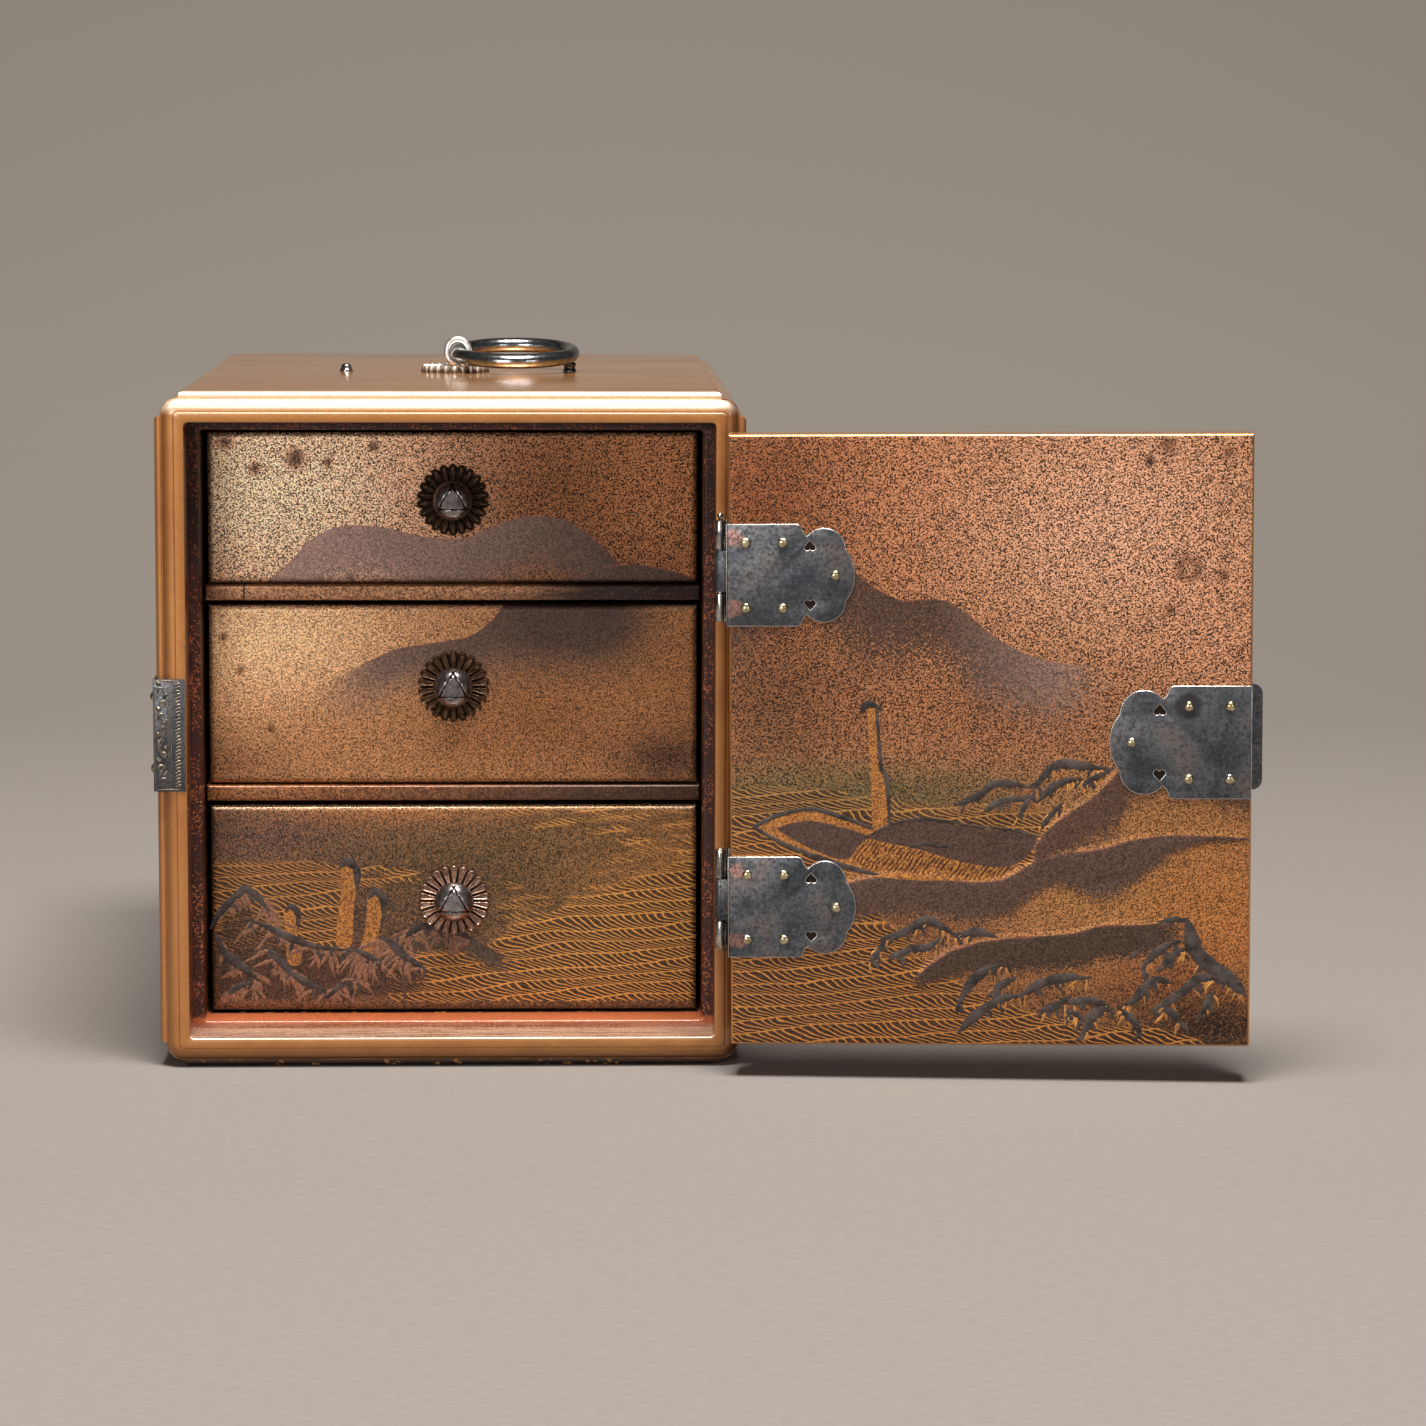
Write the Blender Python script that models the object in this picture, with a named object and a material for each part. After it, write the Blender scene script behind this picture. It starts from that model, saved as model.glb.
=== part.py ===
"""A small gold-lacquered cabinet with a hinged door, three drawers and a ring handle.

Metres, +Z up. The origin is at the centre of the underside, and the front faces -Y.
A depth is measured backwards from the front of the frame. The door is shaped closed,
in its opening, and then swung about its hinge axis to where it rests, nearly flat open.
"""

import math

import bmesh
import bpy
from mathutils import Matrix, Vector

# Case
CASE_WIDTH = 0.1000
CASE_DEPTH = 0.1320
CASE_HEIGHT = 0.1156
PANEL_STEP = 0.0011
PANEL_END = 0.0042
PANEL_SETBACK = 0.0012
EDGE_ROUND = 0.0004
FRAME_WIDTH = 0.0052
BAND_WIDTH = 0.0016
BAND_BEVEL = 0.00015
BEAD_WIDTH = 0.0017
BEAD_DROP = 0.00035
GROOVE_DEPTH = 0.0011
OPENING_RADIUS = 0.0008
REBATE_DEPTH = 0.0095
SHOULDER_WIDTH = 0.0018
SILL_DROP = 0.0006
BACK_THICKNESS = 0.0050
CORNER_SEGMENTS = 4

# Shelves and drawers
FIT_GAP = 0.0003
LEDGE_DEPTH = 0.0073
SHELF_THICKNESS = 0.0027
SHELF_BEVEL = 0.0004
DRAWER_SETBACK = 0.0005
DRAWER_SIDE_GAP = 0.0008
DRAWER_HEADROOM = 0.0009
DRAWER_BACK_GAP = 0.0010
UPPER_DRAWER_HEIGHT = 0.0260
MIDDLE_DRAWER_HEIGHT = 0.0310
DRAWER_FRONT = 0.0050
DRAWER_WALL = 0.0030
DRAWER_FLOOR = 0.0025
DRAWER_ROUND = 0.0009

# Pulls
PULL_RISE = 0.0014
ROSETTE_RADIUS = 0.0062
ROSETTE_HEIGHT = 0.0008
PETALS = 22
KNOB_RADIUS = 0.0035
KNOB_STEM_RADIUS = 0.0020
KNOB_HEIGHT = 0.0042

# Door
DOOR_THICKNESS = 0.0070
DOOR_SIDE_GAP = 0.0011
DOOR_TOP_GAP = 0.0013
DOOR_BOTTOM_GAP = 0.0006
DOOR_ROUND = 0.0005
DOOR_OPEN_DEG = 175.0

# Hinges
AXIS_BESIDE_OPENING = 0.00085
AXIS_IN_FRONT = 0.0011
AXIS_LEAN_DEG = -0.25
HINGE_SPREAD = 0.0281
HINGE_HEIGHT = 0.0172
LEAF_LENGTH = 0.0216
SIDE_LEAF_LENGTH = 0.0190
BARREL_RADIUS = 0.0010
BORE_RADIUS = 0.00058
PIN_RADIUS = 0.00045
FINIAL_RADIUS = 0.00055
KNUCKLE_SHARES = (0.28, 0.41, 0.28)
KNUCKLE_GAP = 0.0002

# Plates
PLATE_THICKNESS = 0.00035
PLATE_GAP = 0.00005
LOCK_LENGTH = 0.0238
LOCK_HEIGHT = 0.0191
HASP_HEIGHT = 0.0180
HASP_THICKNESS = 0.00085
HASP_OVERHANG = 0.0022
HASP_RADIUS = 0.0017
HASP_CLEARANCE = 0.0001
KEEPER_HEIGHT = 0.0192
KEEPER_SIDE_LENGTH = 0.0190
NAIL_RADIUS = 0.00075
NAIL_HEIGHT = 0.00045
KEEPER_NAIL_HEIGHT = 0.0007

# Handle
HANDLE_ROSETTE_X = -0.0005
HANDLE_ROSETTE_HEIGHT = 0.0014
EYE_X = 0.0
EYE_HEIGHT = 0.0034
EYE_STRETCH = 0.0005
EYE_RADIUS = 0.00185
EYE_TUBE = 0.00042
RING_RADIUS = 0.0104
RING_TUBE = 0.00125
RING_TILT_DEG = 5.5
STOP_DISTANCE = 0.0203
STOP_RADIUS = 0.0012
STOP_GAP = 0.0001

# Sizes that follow
FRONT_Y = -CASE_DEPTH / 2
OPENING_HALF = CASE_WIDTH / 2 - FRAME_WIDTH
OPENING_LOW = FRAME_WIDTH
OPENING_HIGH = CASE_HEIGHT - FRAME_WIDTH
INSIDE_HALF = OPENING_HALF - SHOULDER_WIDTH
INSIDE_LOW = OPENING_LOW + SHOULDER_WIDTH - SILL_DROP
INSIDE_HIGH = OPENING_HIGH - SHOULDER_WIDTH
INSIDE_BACK = CASE_DEPTH - BACK_THICKNESS
SHELF_FRONT = REBATE_DEPTH + LEDGE_DEPTH
DRAWER_FACE = SHELF_FRONT + DRAWER_SETBACK
DOOR_HALF = OPENING_HALF - DOOR_SIDE_GAP
DOOR_LOW = OPENING_LOW + DOOR_BOTTOM_GAP
DOOR_HIGH = OPENING_HIGH - DOOR_TOP_GAP
DOOR_MIDDLE = (DOOR_LOW + DOOR_HIGH) / 2
AXIS_X = OPENING_HALF + AXIS_BESIDE_OPENING
LEAF_FACE = PLATE_GAP + PLATE_THICKNESS
LEAF_EDGE = DOOR_HALF + LEAF_FACE
EYE_Z = CASE_HEIGHT + EYE_HEIGHT
AXIS_FRAME = Matrix.Translation((AXIS_X, FRONT_Y - AXIS_IN_FRONT, DOOR_MIDDLE)) @ Matrix.Rotation(
    math.radians(AXIS_LEAN_DEG), 4, "Y"
)
TOWARDS_FRONT = Matrix.Rotation(math.radians(90), 4, "X")
TOWARDS_BACK = Matrix.Rotation(math.radians(-90), 4, "X")
TOWARDS_LEFT = Matrix.Rotation(math.radians(-90), 4, "Y")


def clear_scene():
    for old in list(bpy.data.objects):
        bpy.data.objects.remove(old, do_unlink=True)


def material(name, colour, roughness, metallic):
    made = bpy.data.materials.new(name)
    made.use_nodes = True
    shader = made.node_tree.nodes["Principled BSDF"]
    shader.inputs["Base Color"].default_value = (*colour, 1)
    shader.inputs["Roughness"].default_value = roughness
    shader.inputs["Metallic"].default_value = metallic
    return made


def finish(name, bm, look, origin=(0, 0, 0)):
    """Turns a bmesh in world coordinates into an object whose origin is at the given point."""
    bmesh.ops.recalc_face_normals(bm, faces=bm.faces)
    mesh = bpy.data.meshes.new(name)
    bmesh.ops.translate(bm, verts=bm.verts, vec=-Vector(origin))
    bm.to_mesh(mesh)
    bm.free()
    mesh.materials.append(look)
    mesh.shade_smooth()
    mesh.set_sharp_from_angle(angle=math.radians(35))
    made = bpy.data.objects.new(name, mesh)
    made.location = origin
    bpy.context.collection.objects.link(made)
    return made


def combine(base, operation, tools):
    """Booleans each tool into the base for good, and removes the tools."""
    for tool in tools:
        modifier = base.modifiers.new(operation.title(), "BOOLEAN")
        modifier.operation = operation
        modifier.object = tool
        modifier.solver = "EXACT"
    bpy.context.view_layer.update()
    graph = bpy.context.evaluated_depsgraph_get()
    looks = list(base.data.materials)
    baked = bpy.data.meshes.new_from_object(base.evaluated_get(graph))
    baked.materials.clear()
    baked.materials.append(looks[0])
    baked.polygons.foreach_set("material_index", [0] * len(baked.polygons))
    base.modifiers.clear()
    base.data = baked
    baked.shade_smooth()
    baked.set_sharp_from_angle(angle=math.radians(35))
    for tool in tools:
        bpy.data.objects.remove(tool, do_unlink=True)
    return base


def skin(loops, closed=False):
    """Joins loops of points, all of one count, with faces, and caps the ends unless it closes on itself."""
    bm = bmesh.new()
    rows = [[bm.verts.new(point) for point in loop] for loop in loops]
    pairs = list(zip(rows, rows[1:]))
    if closed:
        pairs.append((rows[-1], rows[0]))
    for one, other in pairs:
        for i in range(len(one)):
            j = (i + 1) % len(one)
            bm.faces.new((one[i], one[j], other[j], other[i]))
    if not closed:
        bm.faces.new(reversed(rows[0]))
        bm.faces.new(rows[-1])
    return bm


def turned(profile, segments, place):
    """A solid turned about local +Z from (radius, height) points that start and end on the axis."""
    bm = bmesh.new()
    rows = []
    for radius, height in profile:
        if radius == 0:
            rows.append([bm.verts.new((0, 0, height))])
            continue
        rows.append([])
        for i in range(segments):
            angle = math.tau * i / segments
            rows[-1].append(bm.verts.new((radius * math.cos(angle), radius * math.sin(angle), height)))
    for one, other in zip(rows, rows[1:]):
        for i in range(segments):
            j = (i + 1) % segments
            corners = [one[i % len(one)], one[j % len(one)], other[j % len(other)], other[i % len(other)]]
            bm.faces.new(list(dict.fromkeys(corners)))
    bmesh.ops.transform(bm, matrix=place, verts=bm.verts)
    return bm


def torus(radius, tube, segments, sides, place, stretch=0.0):
    """A ring about local +Z. A stretch moves its +Y half outwards."""
    loops = []
    for i in range(segments):
        around = math.tau * i / segments
        shift = stretch if 0 < 2 * i < segments else 0.0
        loop = []
        for k in range(sides):
            angle = math.tau * k / sides
            reach = radius + tube * math.cos(angle)
            across, along = reach * math.cos(around), reach * math.sin(around) + shift
            loop.append((across, along, tube * math.sin(angle)))
        loops.append(loop)
    bm = skin(loops, closed=True)
    bmesh.ops.transform(bm, matrix=place, verts=bm.verts)
    return bm


def prism(outline, start, end, place):
    """Extrudes a plane outline of (x, y) points from one height to another along local +Z."""
    bm = skin([[(x, y, height) for x, y in outline] for height in (start, end)])
    bmesh.ops.transform(bm, matrix=place, verts=bm.verts)
    return bm


def box(low, high):
    bm = bmesh.new()
    bmesh.ops.create_cube(bm, size=1)
    for vertex in bm.verts:
        for axis in range(3):
            vertex.co[axis] = high[axis] if vertex.co[axis] > 0 else low[axis]
    return bm


def round_edges(bm, radius, segments, wanted):
    edges = [edge for edge in bm.edges if wanted(edge)]
    bmesh.ops.bevel(bm, geom=edges, offset=radius, segments=segments, affect="EDGES", profile=0.5)
    return bm


def in_front(depth):
    """A test for edges whose ends both lie on the plane at this depth."""
    return lambda edge: all(abs(vertex.co.y - (FRONT_Y + depth)) < 1e-7 for vertex in edge.verts)


def frame_loop(half_width, depth, radius, step=0.0, drop=0.0):
    """One loop round the case, seen from the front.

    A step raises the flat sides off the rounded corners, and a drop lowers the bottom edge.
    """
    half_height = half_width + (CASE_HEIGHT - CASE_WIDTH) / 2
    middle = CASE_HEIGHT / 2
    corner = []
    side, top = half_width - radius, half_height - radius
    rise = EDGE_ROUND if step > EDGE_ROUND else EDGE_ROUND / 2
    corner.append((half_width + step, top - EDGE_ROUND))
    corner.append((half_width + max(step - EDGE_ROUND, 0), top - (0 if step > EDGE_ROUND else rise)))
    for i in range(CORNER_SEGMENTS + 1):
        angle = math.radians(90) * i / CORNER_SEGMENTS
        corner.append((side + radius * math.cos(angle), top + radius * math.sin(angle)))
    corner.append((side - (0 if step > EDGE_ROUND else rise), half_height + max(step - EDGE_ROUND, 0)))
    corner.append((side - EDGE_ROUND, half_height + step))
    loop = []
    for across, up, backwards in ((1, 1, False), (-1, 1, True), (-1, -1, False), (1, -1, True)):
        for x, z in reversed(corner) if backwards else corner:
            sunk = drop if up < 0 else 0
            loop.append((across * x, FRONT_Y + depth, middle + up * z - sunk))
    return loop


def case_solid(look):
    core = CASE_WIDTH / 2 - PANEL_STEP
    centre = CASE_WIDTH / 2 - PANEL_END
    band_outer = OPENING_HALF + BAND_WIDTH
    bead_inner = band_outer + EDGE_ROUND
    bead_outer = bead_inner + BEAD_WIDTH
    loops = [
        frame_loop(core - EDGE_ROUND, CASE_DEPTH, core - centre - EDGE_ROUND, PANEL_STEP),
        frame_loop(core, CASE_DEPTH - EDGE_ROUND, core - centre, PANEL_STEP),
        frame_loop(core, PANEL_SETBACK + EDGE_ROUND, core - centre, PANEL_STEP),
        frame_loop(core, PANEL_SETBACK, core - centre, PANEL_STEP - EDGE_ROUND),
        frame_loop(core, PANEL_SETBACK, core - centre),
        frame_loop((core + bead_outer) / 2, PANEL_SETBACK + EDGE_ROUND, (core + bead_outer) / 2 - centre),
    ]
    for i in range(5):
        angle = math.radians(180) * i / 4
        half = (bead_inner + bead_outer) / 2 + BEAD_WIDTH / 2 * math.cos(angle)
        depth = GROOVE_DEPTH - (GROOVE_DEPTH - BEAD_DROP) * math.sin(angle)
        loops.append(frame_loop(half, depth, half - centre))
    loops += [
        frame_loop(band_outer, GROOVE_DEPTH, band_outer - centre),
        frame_loop(band_outer, BAND_BEVEL, band_outer - centre),
        frame_loop(band_outer - BAND_BEVEL, 0, band_outer - centre),
        frame_loop(OPENING_HALF + BAND_BEVEL, 0, OPENING_RADIUS),
        frame_loop(OPENING_HALF, BAND_BEVEL, OPENING_RADIUS),
        frame_loop(OPENING_HALF, REBATE_DEPTH, OPENING_RADIUS),
        frame_loop(INSIDE_HALF + EDGE_ROUND, REBATE_DEPTH, OPENING_RADIUS, drop=SILL_DROP),
        frame_loop(INSIDE_HALF, REBATE_DEPTH + EDGE_ROUND, OPENING_RADIUS, drop=SILL_DROP),
        frame_loop(INSIDE_HALF, INSIDE_BACK, OPENING_RADIUS, drop=SILL_DROP),
    ]
    return finish("case", skin(loops), look)


def storeys():
    """Each drawer's underside and top, and each shelf's underside, from the top down."""
    drawers, shelves = [], []
    top = INSIDE_HIGH
    for height in (UPPER_DRAWER_HEIGHT, MIDDLE_DRAWER_HEIGHT):
        drawer_top = top - DRAWER_HEADROOM
        drawers.append((drawer_top - height, drawer_top))
        shelves.append(drawer_top - height - FIT_GAP - SHELF_THICKNESS)
        top = shelves[-1]
    drawers.append((INSIDE_LOW + FIT_GAP, top - DRAWER_HEADROOM))
    return drawers, shelves


def shelf_solid(name, low, look):
    half = INSIDE_HALF - FIT_GAP
    bm = box(
        (-half, FRONT_Y + SHELF_FRONT, low),
        (half, FRONT_Y + INSIDE_BACK - FIT_GAP, low + SHELF_THICKNESS),
    )
    round_edges(bm, SHELF_BEVEL, 2, in_front(SHELF_FRONT))
    return finish(name, bm, look)


def drawer_solid(name, low, high, look, lining):
    """A hollow tray with a thick front, open at the top."""
    half = INSIDE_HALF - DRAWER_SIDE_GAP
    back = FRONT_Y + INSIDE_BACK - DRAWER_BACK_GAP
    face = FRONT_Y + DRAWER_FACE
    tray = box((-half, face, low), (half, back, high))
    round_edges(tray, DRAWER_ROUND, 3, in_front(DRAWER_FACE))
    drawer = finish(name, tray, look, (0, face, (low + high) / 2))
    inner = half - DRAWER_WALL
    hollow = box(
        (-inner, face + DRAWER_FRONT, low + DRAWER_FLOOR),
        (inner, back - DRAWER_WALL, high + DRAWER_FLOOR),
    )
    return combine(drawer, "DIFFERENCE", [finish("hollow", hollow, lining)])


def rosette(name, place, look, height=ROSETTE_HEIGHT):
    """A chrysanthemum washer: each petal is a hollow leaf between two raised rims, with a rounded tip."""
    heights = (0.35, 1.0, 0.6, 1.0)
    reaches = (0.93, 0.985, 1.0, 0.985)
    inner, root, tip = (share * ROSETTE_RADIUS for share in (0.40, 0.52, 0.90))
    steps = PETALS * len(heights)
    rows = [[], [], [], []]
    for i in range(steps):
        angle = math.tau * i / steps
        ray = Vector((math.cos(angle), math.sin(angle), 0))
        high = height * heights[i % len(heights)]
        reach = ROSETTE_RADIUS * reaches[i % len(heights)]
        rows[0].append(ray * inner + Vector((0, 0, height / 2)))
        rows[1].append(ray * root + Vector((0, 0, high)))
        rows[2].append(ray * tip + Vector((0, 0, high)))
        rows[3].append(ray * reach)
    bm = skin(rows)
    bmesh.ops.transform(bm, matrix=place, verts=bm.verts)
    return finish(name, bm, look, place.translation)


def knob(name, place, look):
    """A domed pull on a short stem."""
    profile = [(0, 0), (KNOB_STEM_RADIUS, 0), (KNOB_STEM_RADIUS, KNOB_HEIGHT * 0.18)]
    belly = KNOB_HEIGHT * 0.36
    profile.append((KNOB_RADIUS * 0.92, KNOB_HEIGHT * 0.22))
    for i in range(5):
        angle = math.radians(18 * i)
        profile.append((KNOB_RADIUS * math.cos(angle), belly + (KNOB_HEIGHT - belly) * math.sin(angle)))
    profile.append((0, KNOB_HEIGHT))
    return finish(name, turned(profile, 20, place), look, place.translation)


def pull(level, drawer, low, high, rosette_look, knob_look):
    """A rosette flat on the drawer's face, with the knob seated on its middle."""
    seat = Vector((0, FRONT_Y + DRAWER_FACE, (low + high) / 2 + PULL_RISE))
    washer = Matrix.Translation(seat - Vector((0, PLATE_GAP, 0))) @ TOWARDS_FRONT
    head = Matrix.Translation(seat - Vector((0, 2 * PLATE_GAP + ROSETTE_HEIGHT / 2, 0))) @ TOWARDS_FRONT
    for piece in (
        rosette("pull_rosette_" + level, washer, rosette_look),
        knob("pull_knob_" + level, head, knob_look),
    ):
        piece.parent = drawer
        piece.matrix_parent_inverse = drawer.matrix_basis.inverted()


def cloud_outline(length, height, start=0.0):
    """Half-round lobes at the far end of a plate: (distance from its straight edge, height) points."""
    notch = (length - 0.47 * height, 0.385 * height)
    lobe_centre = (length - 0.305 * height, 0.245 * height)
    lobe_radius = math.dist(notch, lobe_centre)
    end_radius = 0.40 * height
    end_centre = length - end_radius
    gap = math.dist(lobe_centre, (end_centre, 0))
    along = (gap**2 + lobe_radius**2 - end_radius**2) / (2 * gap)
    towards_end = math.atan2(-lobe_centre[1], end_centre - lobe_centre[0])
    meeting_angle = towards_end + math.acos(along / lobe_radius)
    first = math.atan2(notch[1] - lobe_centre[1], notch[0] - lobe_centre[0])
    half = [(start, height / 2), (notch[0] - 0.095 * height, height / 2)]
    half += [(notch[0] - 0.05 * height, 0.475 * height), (notch[0] - 0.025 * height, 0.43 * height)]
    for i in range(6):
        angle = first + (meeting_angle - first) * i / 5
        half.append((lobe_centre[0] + lobe_radius * math.cos(angle), lobe_centre[1] + lobe_radius * math.sin(angle)))
    meeting = half[-1]
    last = math.atan2(meeting[1], meeting[0] - end_centre)
    for i in range(1, 4):
        angle = last * (1 - i / 4)
        half.append((end_centre + end_radius * math.cos(angle), end_radius * math.sin(angle)))
    return half + [(length, 0)] + [(u, -v) for u, v in reversed(half)]


def hearts(length, height):
    """Two heart-shaped holes behind the notches, each with its point outwards."""
    size = 0.052 * height
    middle = (length - 0.44 * height, 0.285 * height)
    heart = [(0, 1.0)]
    for i in range(4):
        angle = math.radians(45 - 60 * i)
        heart.append((0.5 + 0.5 * math.cos(angle), -0.3 + 0.5 * math.sin(angle)))
    heart.append((0, -0.45))
    heart += [(-u, v) for u, v in reversed(heart[1:-1])]
    return [
        [(middle[0] + u * size, side * (middle[1] + v * size)) for u, v in heart] for side in (1, -1)
    ]


def nail_places(length, height):
    places = [(0.19 * height, 0.32 * height), (0.55 * height, 0.32 * height)]
    places += [(u, -v) for u, v in places]
    return places + [(length - 0.195 * height, 0)]


def facing(edge, inwards, middle):
    """Places a plate's outline flat against the front: its straight edge at x = edge, running inwards."""
    turn = TOWARDS_FRONT.copy()
    turn[0][0] = inwards
    return Matrix.Translation((edge, FRONT_Y, middle)) @ turn


def front_prism(outline, near, far, edge, inwards, middle):
    """A prism of an upright outline between two depths."""
    return prism(outline, -near, -far, facing(edge, inwards, middle))


def side_prism(outline, left, right, middle):
    """A prism, from left to right, of an outline of (depth, height) points."""
    bm = skin([[(x, FRONT_Y + depth, middle + v) for depth, v in outline] for x in (left, right)])
    return bm


def knuckle(low, high):
    """A bored piece of barrel on the hinge axis, between two heights above the door's middle."""
    loops = []
    for radius, height in ((BORE_RADIUS, low), (BARREL_RADIUS, low), (BARREL_RADIUS, high), (BORE_RADIUS, high)):
        loop = []
        for i in range(14):
            angle = math.tau * i / 14
            loop.append(AXIS_FRAME @ Vector((radius * math.cos(angle), radius * math.sin(angle), height)))
        loops.append(loop)
    return skin(loops, closed=True)


def knuckle_spans(middle):
    """The bottom, middle and top knuckles' ends, as heights above the door's middle."""
    spans = []
    low = middle - DOOR_MIDDLE - HINGE_HEIGHT / 2
    spare = (1 - sum(KNUCKLE_SHARES)) * HINGE_HEIGHT / 2
    for share in KNUCKLE_SHARES:
        spans.append((low, low + share * HINGE_HEIGHT))
        low += share * HINGE_HEIGHT + spare
    return spans


def door_leaf(name, middle, look):
    """Clasps the door's edge between two cloud-shaped limbs. The middle knuckle is bent up from the outer one."""
    outer, inner = -PLATE_GAP, DOOR_THICKNESS + PLATE_GAP
    far = LEAF_EDGE - LEAF_LENGTH - PLATE_THICKNESS
    wood = DOOR_HALF + PLATE_GAP
    section = [
        (AXIS_X, outer - PLATE_THICKNESS),
        (AXIS_X, outer),
        (LEAF_EDGE, outer),
        (LEAF_EDGE, inner + PLATE_THICKNESS),
        (far, inner + PLATE_THICKNESS),
        (far, inner),
        (wood, inner),
        (wood, outer),
        (far, outer),
        (far, outer - PLATE_THICKNESS),
    ]
    bent = prism(
        [(x, FRONT_Y + depth) for x, depth in section],
        middle - HINGE_HEIGHT,
        middle + HINGE_HEIGHT,
        Matrix.Identity(4),
    )
    leaf = finish(name, bent, look)
    low, high = (end + DOOR_MIDDLE - middle for end in knuckle_spans(middle)[1])
    cloud = cloud_outline(LEAF_LENGTH, HINGE_HEIGHT, -KNUCKLE_GAP)
    tab_end = LEAF_EDGE - AXIS_X - BARREL_RADIUS
    outline = cloud + [(-KNUCKLE_GAP, low), (tab_end, low), (tab_end, high), (-KNUCKLE_GAP, high)]
    trim = front_prism(outline, -HINGE_HEIGHT, HINGE_HEIGHT, LEAF_EDGE, -1, middle)
    combine(leaf, "INTERSECT", [finish("trim", trim, look)])
    holes = [
        finish("heart", front_prism(heart, -HINGE_HEIGHT, HINGE_HEIGHT, LEAF_EDGE, -1, middle), look)
        for heart in hearts(LEAF_LENGTH, HINGE_HEIGHT)
    ]
    combine(leaf, "DIFFERENCE", holes)
    tube = finish("tube", knuckle(*knuckle_spans(middle)[1]), look)
    return combine(leaf, "UNION", [tube])


def case_leaf(name, middle, look):
    """Bent round the frame's front edge on to the case's side, with the top and bottom knuckles."""
    side = CASE_WIDTH / 2 + PLATE_GAP
    section = [
        (AXIS_X, -LEAF_FACE),
        (side + PLATE_THICKNESS, -LEAF_FACE),
        (side + PLATE_THICKNESS, SIDE_LEAF_LENGTH + HINGE_HEIGHT),
        (side, SIDE_LEAF_LENGTH + HINGE_HEIGHT),
        (side, -PLATE_GAP),
        (AXIS_X, -PLATE_GAP),
    ]
    bent = prism(
        [(x, FRONT_Y + depth) for x, depth in section],
        middle - HINGE_HEIGHT,
        middle + HINGE_HEIGHT,
        Matrix.Identity(4),
    )
    leaf = finish(name, bent, look)
    cloud = cloud_outline(SIDE_LEAF_LENGTH, HINGE_HEIGHT, -BARREL_RADIUS)
    trim = finish("trim", side_prism(cloud, 0, CASE_WIDTH, middle), look)
    combine(leaf, "INTERSECT", [trim])
    bottom, centre, top = knuckle_spans(middle)
    room = box(
        (AXIS_X - BARREL_RADIUS, FRONT_Y - BARREL_RADIUS, DOOR_MIDDLE + bottom[1]),
        (AXIS_X + BARREL_RADIUS + KNUCKLE_GAP, FRONT_Y + BARREL_RADIUS, DOOR_MIDDLE + top[0]),
    )
    holes = [
        finish("heart", side_prism(heart, side - PLATE_THICKNESS, CASE_WIDTH, middle), look)
        for heart in hearts(SIDE_LEAF_LENGTH, HINGE_HEIGHT)
    ]
    combine(leaf, "DIFFERENCE", [finish("room", room, look), *holes])
    tubes = [finish("tube", knuckle(*span), look) for span in (bottom, top)]
    return combine(leaf, "UNION", tubes)


def hinge_pin(name, middle, look):
    """Fills the bores, with a small ball above the barrel."""
    low = middle - DOOR_MIDDLE - HINGE_HEIGHT / 2
    high = low + HINGE_HEIGHT
    neck = 0.6 * PIN_RADIUS
    profile = [(0, low), (PIN_RADIUS, low), (PIN_RADIUS, high), (neck, high + neck)]
    ball = high + neck + FINIAL_RADIUS * 0.8
    for angle in (-30, 0, 30, 60):
        turn = math.radians(angle)
        profile.append((FINIAL_RADIUS * math.cos(turn), ball + FINIAL_RADIUS * math.sin(turn)))
    profile.append((0, ball + FINIAL_RADIUS))
    return finish(name, turned(profile, 12, AXIS_FRAME), look, AXIS_FRAME.translation)


def lock_plate(look):
    inner = DOOR_THICKNESS + PLATE_GAP
    outline = cloud_outline(LOCK_LENGTH, LOCK_HEIGHT)
    bm = front_prism(outline, inner, inner + PLATE_THICKNESS, -DOOR_HALF, 1, DOOR_MIDDLE)
    plate = finish("lock_plate_inner", bm, look)
    holes = [
        finish("heart", front_prism(heart, 0, CASE_DEPTH, -DOOR_HALF, 1, DOOR_MIDDLE), look)
        for heart in hearts(LOCK_LENGTH, LOCK_HEIGHT)
    ]
    return combine(plate, "DIFFERENCE", holes)


def hasp(look):
    """The outer lock plate. Its tongue passes over the keeper, and is thinned there to clear it."""
    cloud = cloud_outline(LOCK_LENGTH, HASP_HEIGHT, -HASP_OVERHANG + HASP_RADIUS)
    edge = []
    for i in range(5):
        angle = math.radians(180 + 22.5 * i)
        edge.append(
            (
                -HASP_OVERHANG + HASP_RADIUS + HASP_RADIUS * math.cos(angle),
                -HASP_HEIGHT / 2 + HASP_RADIUS + HASP_RADIUS * math.sin(angle),
            )
        )
    edge = edge[:-1]
    outline = cloud + list(reversed(edge)) + [(u, -v) for u, v in edge]
    bm = front_prism(outline, -PLATE_GAP - HASP_THICKNESS, -PLATE_GAP, -DOOR_HALF, 1, DOOR_MIDDLE)
    plate = finish("lock_hasp", bm, look)
    relief = box(
        (-CASE_WIDTH, FRONT_Y - LEAF_FACE - HASP_CLEARANCE, OPENING_LOW),
        (-DOOR_HALF - PLATE_THICKNESS, FRONT_Y + DOOR_THICKNESS, OPENING_HIGH),
    )
    return combine(plate, "DIFFERENCE", [finish("relief", relief, look)])


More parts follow.
